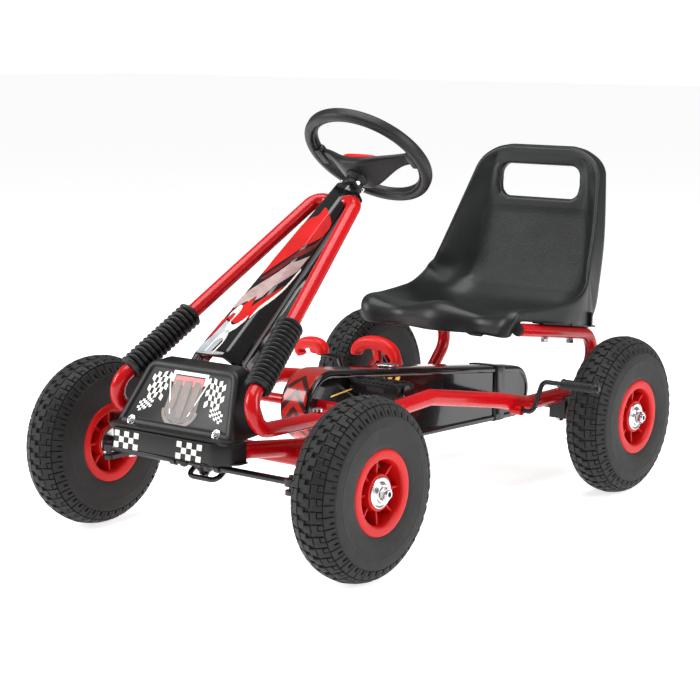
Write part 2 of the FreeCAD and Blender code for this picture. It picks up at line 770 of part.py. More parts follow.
def make_steering_shaft():
    up = steering_direction()
    foot = column_point(-mm("column_length"))
    arm_level = mm("column_length") - 4
    shaft = cylinder("column_rod", foot, up, "dims.column_radius", "dims.column_length - 20")
    arm = cylinder("crank_arm_rod", column_point(-arm_level), FreeCAD.Vector(0, -up.z, up.y),
                   "dims.tie_rod_radius", "dims.crank_tip_reach")
    tip = cylinder("crank_tip_bar", column_point(-arm_level, mm("crank_tip_reach"), -12), X, "4", "24")
    keep(fuse("steering_shaft", [shaft, arm, tip]), "steering_shaft")


def spoke_section(x, level, half_depth):
    """A slice across the wheel's wing-shaped spoke, at a level along the column."""
    return [column_point(level + rise, lift, x) for rise, lift in
            ((-5, -half_depth), (5, -half_depth), (5, half_depth), (-5, half_depth))]


def make_steering_wheel():
    up = steering_direction()
    ring = doc.addObject("Part::Torus", "steering_ring")
    bind(ring, Radius1="dims.steering_ring_radius", Radius2="dims.steering_grip_radius")
    ring.Placement = turned(column_point(0), up)
    spoke = loft("steering_spoke", [spoke_section(x, level, half_depth) for x, level, half_depth in
                                    ((-94, -3, 13), (-30, -26, 27), (30, -26, 27), (94, -3, 13))])
    boss = cylinder("steering_boss", column_point(-40), up, "28", "20")
    shaft_hole = cylinder("steering_bore", column_point(-50), up, "dims.column_radius", "30")
    keep(cut("steering_wheel", fuse("wheel_moulding", [ring, spoke, boss]), [shaft_hole]), "steering_wheel")
    collar = cylinder("hub_collar", column_point(-66), up, "17", "26")
    bore = cylinder("hub_bore", column_point(-70), up, "dims.column_radius", "40")
    keep(cut("steering_hub", collar, [bore]), "steering_hub")
    cap = cylinder("cap_disc", column_point(-20), up, "24", "9")
    keep(cap, "hub_cap")


def make_knuckles():
    front = -mm("wheelbase")
    axle_z = mm("wheel_radius")
    for side, sign in SIDES:
        pin_x = sign * mm("kingpin_x")
        wheel_x = sign * mm("front_track") / 2
        parts = []
        for level, z in (("lower", 120.5), ("upper", 173.5)):
            parts.append(cylinder(f"knuckle_eye_{level}_{side}", at(pin_x, front, z), Z, "14", "6"))
            start = min(pin_x, pin_x + sign * 22)
            parts.append(box(f"knuckle_plate_{level}_{side}", at(start, front - 14, z), "22", "28", "6"))
        web_x = pin_x + (16 if sign > 0 else -22)
        parts.append(box(f"knuckle_web_{side}", at(web_x, front - 14, 120.5), "6", "28", "59"))
        arm_x = pin_x - sign * mm("steering_arm_inset")
        parts.append(box(f"knuckle_arm_{side}", at(arm_x - 9, front - mm("steering_arm_reach"), 120.5),
                         "18", "dims.steering_arm_reach - 8", "6"))
        arm_end = at(arm_x, front - mm("steering_arm_reach"), 120.5)
        parts.append(cylinder(f"knuckle_arm_eye_{side}", arm_end, Z, "9", "6"))
        parts.append(cylinder(f"knuckle_arm_pin_{side}", arm_end, Z, "4", "27"))
        parts.append(cylinder(f"stub_{side}", at(pin_x + sign * 20, front, axle_z), X * sign,
                              "dims.stub_radius", f"{abs(wheel_x - pin_x) - 20 + mm('axle_end_reach')}"))
        parts.append(cylinder(f"stub_shoulder_{side}", at(pin_x + sign * 20, front, axle_z), X * sign,
                              "9", f"{abs(wheel_x - pin_x) - 20 - 31.8}"))
        bore = cylinder(f"knuckle_bore_{side}", at(pin_x, front, 110), Z,
                        "dims.kingpin_radius + dims.running_gap", "80")
        keep(cut(f"knuckle_{side}", fuse(f"knuckle_forging_{side}", parts), [bore]), f"knuckle_{side}")


def make_tie_rods():
    y = -mm("wheelbase") - mm("steering_arm_reach")
    z = mm("tie_rod_z")
    for side, sign in SIDES:
        outer_x = mm("kingpin_x") - mm("steering_arm_inset")
        eye = at(sign * outer_x, y, z)
        rod = cylinder(f"tie_rod_bar_{side}", at(sign * 24, y, z), X * sign, "dims.tie_rod_radius",
                       f"{outer_x - 30}")
        ball = sphere(f"tie_rod_ball_{side}", at(sign * 24, y, z), "dims.tie_rod_radius + 3")
        collar = cylinder(f"tie_rod_collar_{side}", at(sign * 38, y, z), X * sign, "7.5", "9")
        ring = cylinder(f"tie_rod_ring_{side}", eye - Z * 5, Z, "10", "10")
        bore = cylinder(f"tie_rod_bore_{side}", eye - Z * 20, Z, "4 + dims.running_gap", "40")
        bored_ring = cut(f"tie_rod_bored_ring_{side}", ring, [bore])
        keep(fuse(f"tie_rod_{side}", [rod, ball, collar, bored_ring]), f"tie_rod_{side}")


# ---------------------------------------------------------------- seat

def make_seat_rails():
    plugs = []
    for side, sign in SIDES:
        x = sign * 155
        front = at(x, -151, 278)
        rear = at(x, 128, 239)
        rail = tube(f"seat_tube_{side}", [front, rear, at(x - sign * 3, 42, 153)],
                    mm("seat_rail_bend"), "dims.seat_rail_radius")
        keep(cut(f"seat_rail_{side}", rail, [kept("main_frame")]), f"seat_rail_{side}")
        outward = (front - rear).normalize()
        plugs.append(cylinder(f"plug_{side}", front, outward, "dims.seat_rail_radius - 1", "4"))
    keep(group("rail_plugs", plugs), "rail_plugs")


# Each station across the seat: the middle of its upper face (y, z), the way that face looks (y, z),
# half its width, and how far its side wings rise.
SEAT_STATIONS = (
    (-166, 274, -1.0, 0.0, 145, 0), (-163, 292, -0.8, 0.6, 149, 0), (-148, 302, -0.1, 0.995, 152, 4),
    (-100, 297, 0.1, 0.995, 160, 12), (-40, 286, 0.12, 0.993, 168, 26), (10, 280, -0.1, 0.995, 172, 38),
    (75, 287, -0.5, 0.866, 168, 64), (118, 335, -0.93, 0.37, 160, 66), (132, 385, -0.97, 0.25, 153, 53),
    (141, 440, -0.98, 0.19, 143, 36), (147, 500, -0.99, 0.1, 131, 14), (149, 535, -1.0, 0.0, 118, 4),
    (150, 552, -1.0, 0.0, 96, 1), (150, 560, -1.0, 0.0, 60, 0))


def seat_outline(station):
    y, z, look_y, look_z, half, rise = station
    look = FreeCAD.Vector(0, look_y, look_z).normalize()
    middle = at(0, y, z)
    shape = ((1.0, rise), (0.93, 0.55 * rise), (0.8, 0.12 * rise), (0.5, 0))
    wall = mm("seat_wall")
    right = [middle + X * share * half + look * lift for share, lift in shape]
    left = [middle - X * share * half + look * lift for share, lift in shape]
    upper = right + left[::-1]
    return upper + [point - look * wall for point in reversed(upper)]


def make_seat():
    shell = loft("seat_skin", [seat_outline(station) for station in SEAT_STATIONS], ruled=True)
    parts = [shell]
    slope = FreeCAD.Rotation(X, -7.96)
    for side, sign in SIDES:
        start = at(sign * 155 - 9, -120, 285.4)
        foot = box(f"seat_foot_{side}", start, "18", "165", "14", slope)
        parts.append(foot)
    slot_base = mm("seat_slot_z") - mm("seat_slot_height") / 2
    slot = box("seat_slot_block", at(-mm("seat_slot_half_width"), 90, slot_base),
               "2 * dims.seat_slot_half_width", "120", "dims.seat_slot_height")
    rounded = doc.addObject("Part::Fillet", "seat_slot_tool")
    rounded.Base = slot
    rounded.Edges = [(edge, 20.0, 20.0) for edge in (2, 4, 6, 8)]
    keep(cut("seat_shell", fuse("seat_moulding", parts), [rounded]), "seat_shell")


def make_bolts():
    """The visible bolts and nuts that hold the seat, the hoop's feet and the axle brackets."""
    bolts = []
    for side, sign in SIDES:
        x = sign * 155
        for n, y in enumerate((-70, 10)):
            z = 277.4 - (y + 151) * 0.14 - mm("seat_rail_radius")
            bolts.append(hex_nut(f"seat_nut_{side}_{n}", at(x, y, z - 6), Z, "7", "5.5"))
        bolts.append(cylinder(f"hoop_bolt_{side}", at(sign * 122.3, -625, 211.2), Z, "7", "4"))
        bolts.append(cylinder(f"bracket_bolt_{side}", at(sign * mm("rail_x"), -8, 163.8), Z, "6", "4"))
        bolts.append(hex_nut(f"bracket_nut_{side}", at(sign * mm("rail_x"), -8, 107), Z, "7", "5"))
    keep(group("bolt_group", bolts), "bolts")


# ---------------------------------------------------------------- levers

def make_brake_lever():
    y = mm("lever_pivot_y")
    z = mm("lever_pivot_z")
    points = [at(160.3, y, z), at(195, y, z), at(195, y + 28, z + 46), at(300, y + 28, z + 46)]
    keep(tube("brake_rod", points, 9, "dims.brake_rod_radius"), "brake_lever")
    sleeve = cylinder("grip_sleeve", at(232, y + 28, z + 46), X, "dims.grip_radius", "dims.grip_length")
    bore = cylinder("grip_bore", at(225, y + 28, z + 46), X, "dims.brake_rod_radius", "80")
    keep(cut("brake_grip", sleeve, [bore]), "brake_grip")


def make_gear_lever():
    y = mm("lever_pivot_y")
    z = mm("lever_pivot_z")
    points = [at(-160.3, y, z), at(-184, y, z), at(-188, y - 18, z + 50), at(-190, y - 72, z + 64)]
    keep(tube("gear_rod", points, 10, "dims.brake_rod_radius"), "gear_lever")
    handle = box("gear_handle_block", at(-223, y - 90, z + 55), "66", "20", "28")
    rounded = doc.addObject("Part::Fillet", "gear_handle_rounded")
    rounded.Base = handle
    rounded.Edges = [(edge, 7.0, 7.0) for edge in range(1, 13)]
    keep(cut("gear_handle", rounded, [kept("gear_lever")]), "gear_handle")


def make_selector_lever():
    tube_y = -140
    tube_z = 150
    collar = cylinder("selector_collar", at(-105, tube_y, tube_z), X, "13", "20")
    stem = tube("selector_stem", [at(-95, tube_y - 6, tube_z + 8), at(-95, -168, 190), at(-95, -194, 222)],
                30, "5")
    bore = cylinder("selector_bore", at(-110, tube_y, tube_z), X, "dims.cross_tube_radius + dims.running_gap",
                    "30")
    keep(cut("selector_lever", fuse("selector_welded", [collar, stem]), [bore]), "selector_lever")
    handle = tube("selector_arch", [at(-137, -198, 212), at(-131, -198, 239), at(-59, -198, 239),
                                    at(-53, -198, 212)], 16, "8")
    keep(cut("selector_handle", handle, [kept("selector_lever")]), "selector_handle")


# ---------------------------------------------------------------- build, check and write

def check_document():
    doc.recompute()
    for item in doc.Objects:
        if "Invalid" in item.State or "Error" in item.State:
            raise RuntimeError(f"{item.Name} failed: {item.State}")
    for item in nodes:
        if item.Shape.isNull() or not item.Shape.isValid() or not item.Shape.Solids:
            raise RuntimeError(f"{item.Label} has no valid solid")


def write_parts():
    os.makedirs("parts", exist_ok=True)
    for item in nodes:
        item.Shape.exportStep(f"parts/{item.Label}.step")
    outer_box = FreeCAD.BoundBox()
    for item in nodes:
        outer_box.add(item.Shape.BoundBox)
    print(len(nodes), "sub-parts;", outer_box)


def main():
    fill_sheet()
    make_main_frame()
    make_hoop()
    make_bellows()
    make_column_hanger()
    make_axle_supports()
    make_kingpins()
    make_nose()
    make_bumper()
    make_panel_screws()
    make_steering_cover()
    make_chain_cover()
    make_chain()
    make_crank_bearings()
    make_crank()
    make_pedals()
    make_rear_axle()
    make_wheels()
    make_steering_shaft()
    make_steering_wheel()
    make_knuckles()
    make_tie_rods()
    make_seat_rails()
    make_seat()
    make_bolts()
    make_brake_lever()
    make_gear_lever()
    make_selector_lever()
    check_document()
    write_parts()


main()
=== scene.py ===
"""The looks of a child's pedal go kart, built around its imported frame.

Outlines are written in millimetres and scaled by MM.  The front of the kart is -Y, the rider's left is
+X and the ground is z = 0.  Places along the kart are given from the rear axle, as at() takes them.
"""
import math

import bmesh
import bpy
from mathutils import Matrix, Vector


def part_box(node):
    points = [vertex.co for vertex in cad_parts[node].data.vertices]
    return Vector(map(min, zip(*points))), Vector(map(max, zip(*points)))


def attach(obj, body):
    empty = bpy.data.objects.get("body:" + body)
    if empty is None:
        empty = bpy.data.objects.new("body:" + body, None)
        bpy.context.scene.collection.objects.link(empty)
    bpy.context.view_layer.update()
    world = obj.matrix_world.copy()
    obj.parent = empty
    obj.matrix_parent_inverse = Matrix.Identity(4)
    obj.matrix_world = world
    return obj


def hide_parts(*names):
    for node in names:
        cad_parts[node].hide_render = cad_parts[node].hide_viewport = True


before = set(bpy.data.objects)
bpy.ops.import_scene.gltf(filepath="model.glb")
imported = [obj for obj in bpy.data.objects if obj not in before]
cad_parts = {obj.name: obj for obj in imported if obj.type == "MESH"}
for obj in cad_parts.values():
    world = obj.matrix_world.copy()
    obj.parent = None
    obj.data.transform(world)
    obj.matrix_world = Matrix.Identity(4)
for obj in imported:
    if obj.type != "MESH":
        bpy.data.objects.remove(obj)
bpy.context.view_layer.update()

MM = 0.001
SIDES = (("left", 1), ("right", -1))
X = Vector((1, 0, 0))
Y = Vector((0, 1, 0))
Z = Vector((0, 0, 1))


# ---------------------------------------------------------------- places

def middle(node):
    """The middle of a node's box, in millimetres."""
    low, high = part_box(node)
    return (low + high) / 2 / MM


REAR_AXLE_Y = middle("rear_left_tyre").y


def at(x, y, z):
    """A point in millimetres whose y is measured from the rear axle."""
    return Vector((x, y + REAR_AXLE_Y, z))


def placed(origin, axis, across):
    """A placement whose Z is the axis and whose X is as near as can be to across."""
    z = Vector(axis).normalized()
    y = z.cross(Vector(across)).normalized()
    x = y.cross(z)
    matrix = Matrix((x, y, z)).transposed().to_4x4()
    matrix.translation = Vector(origin) * MM
    return matrix


STEERING_TILT = math.radians(49.12)
COLUMN_UP = Vector((0, math.cos(STEERING_TILT), math.sin(STEERING_TILT)))
STEERING = placed(at(0, -352, 560), COLUMN_UP, X)


# ---------------------------------------------------------------- curves and outlines

def spline(points, steps=6, closed=False):
    """A smooth run of points through the given ones."""
    points = [Vector(point) for point in points]
    count = len(points)
    made = []
    for n in range(count if closed else count - 1):
        if closed:
            a, b, c, d = (points[(n + k) % count] for k in (-1, 0, 1, 2))
        else:
            a, b, c, d = (points[min(max(n + k, 0), count - 1)] for k in (-1, 0, 1, 2))
        for step in range(steps):
            t = step / steps
            made.append(0.5 * (2 * b + (c - a) * t + (2 * a - 5 * b + 4 * c - d) * t ** 2
                               + (3 * b - a - 3 * c + d) * t ** 3))
    if not closed:
        made.append(points[-1])
    return made


def rounded(points, radius, closed=True, steps=4):
    """The outline with each corner eased by a curve that starts a radius away from it."""
    points = [Vector(point) for point in points]
    count = len(points)
    radii = radius if isinstance(radius, (list, tuple)) else [radius] * count
    made = []
    for n, corner in enumerate(points):
        if radii[n] <= 0 or not closed and n in (0, count - 1):
            made.append(corner)
            continue
        before = points[n - 1] - corner
        after = points[(n + 1) % count] - corner
        start = corner + before.normalized() * min(radii[n], 0.48 * before.length)
        end = corner + after.normalized() * min(radii[n], 0.48 * after.length)
        for step in range(steps + 1):
            t = step / steps
            made.append(start * (1 - t) ** 2 + corner * 2 * t * (1 - t) + end * t ** 2)
    return made


def inset(outline, distance):
    """A closed flat outline moved inwards; the outline runs anticlockwise."""
    made = []
    for n, point in enumerate(outline):
        before = (point - outline[n - 1]).normalized()
        after = (outline[(n + 1) % len(outline)] - point).normalized()
        side = Vector((-before.y - after.y, before.x + after.x)).normalized()
        square = max(0.4, side.dot(Vector((-before.y, before.x))))
        made.append(point + side * distance / square)
    return made


def circle(radius, steps=24):
    angles = [2 * math.pi * n / steps for n in range(steps)]
    return [Vector((radius * math.cos(angle), radius * math.sin(angle))) for angle in angles]


def superellipse(a, b, power=3.0, steps=32):
    """A rounded rectangle of half sizes a and b."""
    made = []
    for n in range(steps):
        angle = 2 * math.pi * n / steps
        c, s = math.cos(angle), math.sin(angle)
        made.append(Vector((a * math.copysign(abs(c) ** (2 / power), c),
                            b * math.copysign(abs(s) ** (2 / power), s))))
    return made


def smoothstep(low, high, value):
    t = min(1.0, max(0.0, (value - low) / (high - low)))
    return t * t * (3 - 2 * t)


def hump(value, centre, width):
    return math.exp(-((value - centre) / width) ** 2)


# ---------------------------------------------------------------- meshes

class Shape:
    """Points in millimetres and faces with a material number, gathered before they become one mesh."""

    def __init__(self):
        self.points = []
        self.faces = []
        self.looks = []

    def add(self, points, faces, look=0):
        start = len(self.points)
        self.points += [Vector(point) for point in points]
        self.faces += [[start + n for n in face] for face in faces]
        self.looks += [look] * len(faces)
        return self

    def loft(self, rings, look=0, ring_closed=True, path_closed=False, caps=False):
        """Faces between neighbouring rings of equally many points."""
        size = len(rings[0])
        count = len(rings)
        faces = []
        for i in range(count if path_closed else count - 1):
            for j in range(size if ring_closed else size - 1):
                k = (j + 1) % size
                low, high = i * size, (i + 1) % count * size
                faces.append([low + j, low + k, high + k, high + j])
        if caps:
            faces.append(list(range(size))[::-1])
            faces.append([(count - 1) * size + j for j in range(size)])
        return self.add([point for ring in rings for point in ring], faces, look)

    def lathe(self, profile, steps=64, closed=False, look=0, matrix=None):
        """A profile of (radius, height) turned about Z."""
        rings = []
        for radius, height in profile:
            rings.append([Vector((point.x, point.y, height)) for point in circle(radius, steps)])
        if matrix:
            rings = [[matrix @ point for point in ring] for ring in rings]
        return self.loft(rings, look, path_closed=closed)

    def prism(self, outline, low, high, chamfer=0.0, look=0, matrix=None):
        """A flat outline between two heights, with its edges eased."""
        levels = [(chamfer, low), (0.3 * chamfer, low + 0.3 * chamfer), (0, low + chamfer),
                  (0, high - chamfer), (0.3 * chamfer, high - 0.3 * chamfer), (chamfer, high)]
        if not chamfer:
            levels = [(0, low), (0, high)]
        rings = [[Vector((*point, height)) for point in inset(outline, distance)]
                 for distance, height in levels]
        if matrix:
            rings = [[matrix @ point for point in ring] for ring in rings]
        return self.loft(rings, look, caps=True)

    def sweep(self, path, section, up, look=0, closed=False, caps=True):
        """A section carried along a path in a plane; up is square to that plane.

        section(share) gives the points (across, up) at a share of the path."""
        path = [Vector(point) for point in path]
        up = Vector(up).normalized()
        count = len(path)
        rings = []
        for n, point in enumerate(path):
            before = path[n - 1] if closed or n else path[0]
            after = path[(n + 1) % count] if closed or n < count - 1 else path[-1]
            across = (after - before).cross(up).normalized()
            rings.append([point + across * p.x + up * p.y for p in section(n / (count - 1))])
        return self.loft(rings, look, path_closed=closed, caps=caps and not closed)

    def slab(self, corner, size, chamfer=0.6, look=0):
        """A bar with eased edges, from its lowest corner."""
        x, y, z = corner
        a, b, c = size
        outline = [Vector(p) for p in ((x, y), (x + a, y), (x + a, y + b), (x, y + b))]
        return self.prism(outline, z, z + c, chamfer, look)

    def cover_last(self, size):
        """One face over the last ring of the given size."""
        count = len(self.points)
        self.faces.append(list(range(count - size, count)))
        self.looks.append(0)

    def mesh(self, name, looks, sharp=35, weld=True):
        """The finished mesh, in metres, smooth but for edges sharper than the angle."""
        made = bpy.data.meshes.new(name)
        made.from_pydata([point * MM for point in self.points], [], self.faces)
        for look in looks:
            made.materials.append(look)
        made.polygons.foreach_set("material_index", self.looks)
        work = bmesh.new()
        work.from_mesh(made)
        if weld:
            bmesh.ops.remove_doubles(work, verts=work.verts, dist=1e-6)
        bmesh.ops.recalc_face_normals(work, faces=work.faces)
        work.to_mesh(made)
        work.free()
        made.polygons.foreach_set("use_smooth", [True] * len(made.polygons))
        made.set_sharp_from_angle(angle=math.radians(sharp))
        return made

    def build(self, name, looks, body, replaces=(), slot=None, matrix=None, sharp=35):
        if not isinstance(looks, (list, tuple)):
            looks = [looks]
        return piece(name, self.mesh(name, looks, sharp), body, replaces, matrix)


def piece(name, mesh, body, replaces=(), matrix=None):
    """A named part of the look, riding on a body."""
    made = bpy.data.objects.new(name, mesh)
    bpy.context.scene.collection.objects.link(made)
    if matrix:
        made.matrix_world = matrix
    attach(made, body)
    if replaces:
        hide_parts(*replaces)
    return made


# ---------------------------------------------------------------- materials

def add(tree, kind, inputs=None, **settings):
    """A shader node with its settings, and the values or links of its inputs."""
    made = tree.nodes.new("ShaderNode" + kind)
    for name, value in settings.items():
        setattr(made, name, value)
    for name, value in (inputs or {}).items():
        if isinstance(value, bpy.types.NodeSocket):
            tree.links.new(value, made.inputs[name])
        else:
            made.inputs[name].default_value = value
    return made


def colours(tree, factor, stops):
    """A colour ramp through (position, colour) stops."""
    ramp = add(tree, "ValToRGB", {"Fac": factor})
    elements = ramp.color_ramp.elements
    while len(elements) < len(stops):
        elements.new(0.5)
    for element, (position, colour) in zip(elements, stops):
        element.position = position
        element.color = (*colour, 1)
    return ramp.outputs["Color"]


def spread(tree, value, low, high):
    """A value between 0 and 1 mapped to a range."""
    return add(tree, "MapRange", {"Value": value, "To Min": low, "To Max": high}).outputs["Result"]


def new_look(name, metallic=0.0, coat=0.0, coat_roughness=0.06, specular=0.5, sheen=0.0):
    made = bpy.data.materials.new(name)
    made.use_nodes = True
    shader = made.node_tree.nodes["Principled BSDF"]
    shader.inputs["Metallic"].default_value = metallic
    shader.inputs["Coat Weight"].default_value = coat
    shader.inputs["Coat Roughness"].default_value = coat_roughness
    shader.inputs["Specular IOR Level"].default_value = specular
    shader.inputs["Sheen Weight"].default_value = sheen
    return made, made.node_tree, shader


def moulded(name, light, dark, roughness, mottle=9.0, grain=900.0, depth=0.00004, pebble=0.0, scratch=0.0,
            edge=0.0, **gloss):
    """A painted, moulded or metal surface: patchy colour and gloss, with a fine grain in its bump."""
    made, tree, shader = new_look(name, **gloss)
    link = tree.links.new
    place = add(tree, "TexCoord").outputs["Object"]
    patches = add(tree, "TexNoise", {"Vector": place, "Scale": mottle, "Detail": 6.0, "Roughness": 0.62})
    link(colours(tree, patches.outputs["Fac"], ((0.32, dark), (0.68, light))), shader.inputs["Base Color"])
    wear = add(tree, "TexNoise", {"Vector": place, "Scale": mottle * 4.3, "Detail": 5.0, "Roughness": 0.7})
    link(spread(tree, wear.outputs["Fac"], roughness * 0.75, roughness * 1.3), shader.inputs["Roughness"])
    if pebble:
        cells = add(tree, "TexVoronoi", {"Vector": place, "Scale": pebble, "Randomness": 1.0})
        height = cells.outputs["Distance"]
    elif scratch:
        long_place = add(tree, "Mapping", {"Vector": place, "Scale": (scratch, 1.0, 1.0)}).outputs["Vector"]
        height = add(tree, "TexNoise", {"Vector": long_place, "Scale": grain, "Detail": 3.0}).outputs["Fac"]
    else:
        height = add(tree, "TexNoise", {"Vector": place, "Scale": grain, "Detail": 4.0}).outputs["Fac"]
    bump = add(tree, "Bump", {"Height": height, "Strength": 1.0, "Distance": depth})
    if edge:
        link(add(tree, "Bevel", {"Radius": edge}, samples=4).outputs["Normal"], bump.inputs["Normal"])
    link(bump.outputs["Normal"], shader.inputs["Normal"])
    return made


EDGE = 0.0007
RED_PAINT = moulded("red_paint", (0.56, 0.003, 0.007), (0.47, 0.002, 0.005), 0.24, grain=260, depth=0.00006,
                    coat=0.35, coat_roughness=0.05, specular=0.2, edge=EDGE)
BLACK_PAINT = moulded("black_paint", (0.009, 0.009, 0.010), (0.005, 0.005, 0.006), 0.3, grain=500,
                      depth=0.00004, coat=0.3, coat_roughness=0.15, specular=0.3, edge=EDGE)
BLACK_PLASTIC = moulded("black_plastic", (0.010, 0.010, 0.011), (0.006, 0.006, 0.007), 0.38, grain=1400,
                        depth=0.00005, specular=0.3, edge=EDGE)
WHEEL_PLASTIC = moulded("wheel_plastic", (0.014, 0.014, 0.0135), (0.008, 0.008, 0.0078), 0.42, grain=1600,
                        depth=0.00006, specular=0.32)
PANEL_PLASTIC = moulded("panel_plastic", (0.011, 0.0105, 0.0105), (0.0065, 0.006, 0.006), 0.4, grain=1500,
                        depth=0.00006, specular=0.3)
SEAT_PLASTIC = moulded("seat_plastic", (0.014, 0.0155, 0.0155), (0.008, 0.009, 0.009), 0.36, mottle=5.0,
                       grain=1100, depth=0.00005, specular=0.34)
SEAT_GRAIN = moulded("seat_grain", (0.016, 0.018, 0.018), (0.010, 0.011, 0.011), 0.44, mottle=6.0,
                     pebble=480, depth=0.00045, specular=0.34)
TYRE_RUBBER = moulded("tyre_rubber", (0.017, 0.0165, 0.016), (0.009, 0.0088, 0.0085), 0.6, mottle=14,
                      grain=420, depth=0.00012, specular=0.3, sheen=0.05)
BELLOWS_RUBBER = moulded("bellows_rubber", (0.010, 0.010, 0.010), (0.005, 0.005, 0.005), 0.4, grain=900,
                         depth=0.00005, specular=0.35)
RED_PLASTIC = moulded("red_plastic", (0.60, 0.009, 0.009), (0.50, 0.006, 0.006), 0.34, grain=700,
                      depth=0.00004, specular=0.25, edge=EDGE)
HANDLE_RED = moulded("handle_red", (0.72, 0.008, 0.007), (0.62, 0.005, 0.004), 0.36, grain=800,
                     depth=0.00003, specular=0.28)
GLOSS_BLACK = moulded("gloss_black", (0.007, 0.006, 0.006), (0.004, 0.0035, 0.0035), 0.12, grain=90,
                     depth=0.00006, specular=0.3, coat=0.6, coat_roughness=0.03)
STRAP_BLACK = moulded("strap_black", (0.008, 0.008, 0.008), (0.004, 0.004, 0.004), 0.32, grain=900,
                      depth=0.00004)
ZINC = moulded("zinc", (0.78, 0.79, 0.80), (0.55, 0.56, 0.58), 0.24, mottle=60, grain=500, scratch=0.15,
               depth=0.00003, metallic=1.0, edge=EDGE / 2)
CHAIN_STEEL = moulded("chain_steel", (0.33, 0.31, 0.29), (0.16, 0.15, 0.14), 0.38, mottle=90, grain=700,
                      scratch=0.2, depth=0.00005, metallic=1.0, edge=EDGE / 2)
NYLON = moulded("nylon", (0.025, 0.025, 0.026), (0.012, 0.012, 0.013), 0.5, grain=1200, depth=0.00004,
                edge=EDGE / 2)
# Painted shade: a near-black sheet laid over holes and recesses that are not cut, standing in for the shade
# inside them.
PAINTED_HOLE_SHADE = moulded("painted_hole_shade", (0.004, 0.004, 0.004), (0.002, 0.002, 0.002), 0.8, grain=400)
def film_look(name, light, dark, roughness, mottle, grain=900, **more):
    """A printed film: all but flat, with a faint mottle."""
    return moulded(name, light, dark, roughness, mottle=mottle, grain=grain, depth=0.00002, **more)


WHITE_FILM = film_look("white_film", (0.86, 0.84, 0.80), (0.78, 0.76, 0.72), 0.3, 30, coat=0.3)
SILVER_FILM = film_look("silver_film", (0.50, 0.37, 0.36), (0.34, 0.22, 0.21), 0.3, 60, specular=0.3, coat=0.3)
GREY_FILM = film_look("grey_film", (0.50, 0.52, 0.56), (0.26, 0.28, 0.32), 0.3, 24, coat=0.4)
RED_FILM = film_look("red_film", (0.64, 0.012, 0.010), (0.46, 0.007, 0.006), 0.22, 22, grain=600,
                     specular=0.25, coat=0.4)
DARK_RED_FILM = film_look("dark_red_film", (0.20, 0.008, 0.008), (0.06, 0.004, 0.004), 0.25, 50, grain=600,
                          specular=0.25, coat=0.4)
BRONZE_FILM = film_look("bronze_film", (0.16, 0.085, 0.055), (0.05, 0.026, 0.018), 0.35, 60, coat=0.2)
DEEP_BRONZE_FILM = film_look("deep_bronze_film", (0.05, 0.024, 0.016), (0.02, 0.010, 0.007), 0.35, 60, coat=0.2)
GOLD_FILM = film_look("gold_film", (0.90, 0.52, 0.08), (0.70, 0.36, 0.05), 0.28, 40, grain=800, coat=0.4)


def chevron_look():
    """Red with dark chevrons that follow the mesh's own layout, fading to black at its far end."""
    made, tree, shader = new_look("nose_chevrons", coat=0.5, coat_roughness=0.06, specular=0.3)
    place = add(tree, "UVMap").outputs["UV"]
    parts = add(tree, "SeparateXYZ", {"Vector": place})
    slant = add(tree, "Math", {0: parts.outputs["X"]}, operation="ABSOLUTE").outputs[0]
    along = add(tree, "Math", {0: slant, 1: 1.15, 2: parts.outputs["Y"]}, operation="MULTIPLY_ADD").outputs[0]
    wave = add(tree, "Math", {0: along}, operation="FRACT").outputs[0]
    red, dark = (0.58, 0.022, 0.015), (0.06, 0.010, 0.008)
    band = colours(tree, wave, ((0.0, red), (0.50, red), (0.56, dark), (0.94, dark), (1.0, red)))
    chevrons_end = add(tree, "MapRange", {"Value": along, "From Min": 4.96, "From Max": 5.02}).outputs["Result"]
    upper = add(tree, "Mix", {"Factor": chevrons_end, 6: band, 7: (*red, 1)}, data_type="RGBA").outputs[2]
    fade = add(tree, "MapRange", {"Value": parts.outputs["Y"], "From Min": 5.4, "From Max": 7.6})
    final = add(tree, "Mix", {"Factor": fade.outputs["Result"], 6: upper, 7: (0.008, 0.007, 0.007, 1)},
                data_type="RGBA").outputs[2]
    grain = add(tree, "TexNoise", {"Vector": add(tree, "TexCoord").outputs["Object"], "Scale": 60.0,
                                   "Detail": 5.0})
    tree.links.new(final, shader.inputs["Base Color"])
    tree.links.new(spread(tree, grain.outputs["Fac"], 0.16, 0.3), shader.inputs["Roughness"])
    return made


CAD_LOOKS = {
    RED_PAINT: ("main_frame", "steering_hoop", "seat_rail_left", "seat_rail_right"),
    BLACK_PAINT: ("column_hanger", "axle_brackets", "steering_shaft", "knuckle_left", "knuckle_right",
                  "tie_rod_left", "tie_rod_right", "crank_axle", "rear_axle", "brake_lever", "gear_lever",
                  "selector_lever"),
    NYLON: ("axle_bearings", "crank_bearings", "rail_plugs"),
    ZINC: ("kingpins", "bolts", "front_left_nut", "front_right_nut", "rear_wheel_nuts"),
    CHAIN_STEEL: ("chain", "chainring", "rear_sprocket"),
}


def dress_cad_nodes():
    for look, names in CAD_LOOKS.items():
        for name in names:
            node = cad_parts[name]
            node.data.materials.clear()
            node.data.materials.append(look)


# ---------------------------------------------------------------- wheels

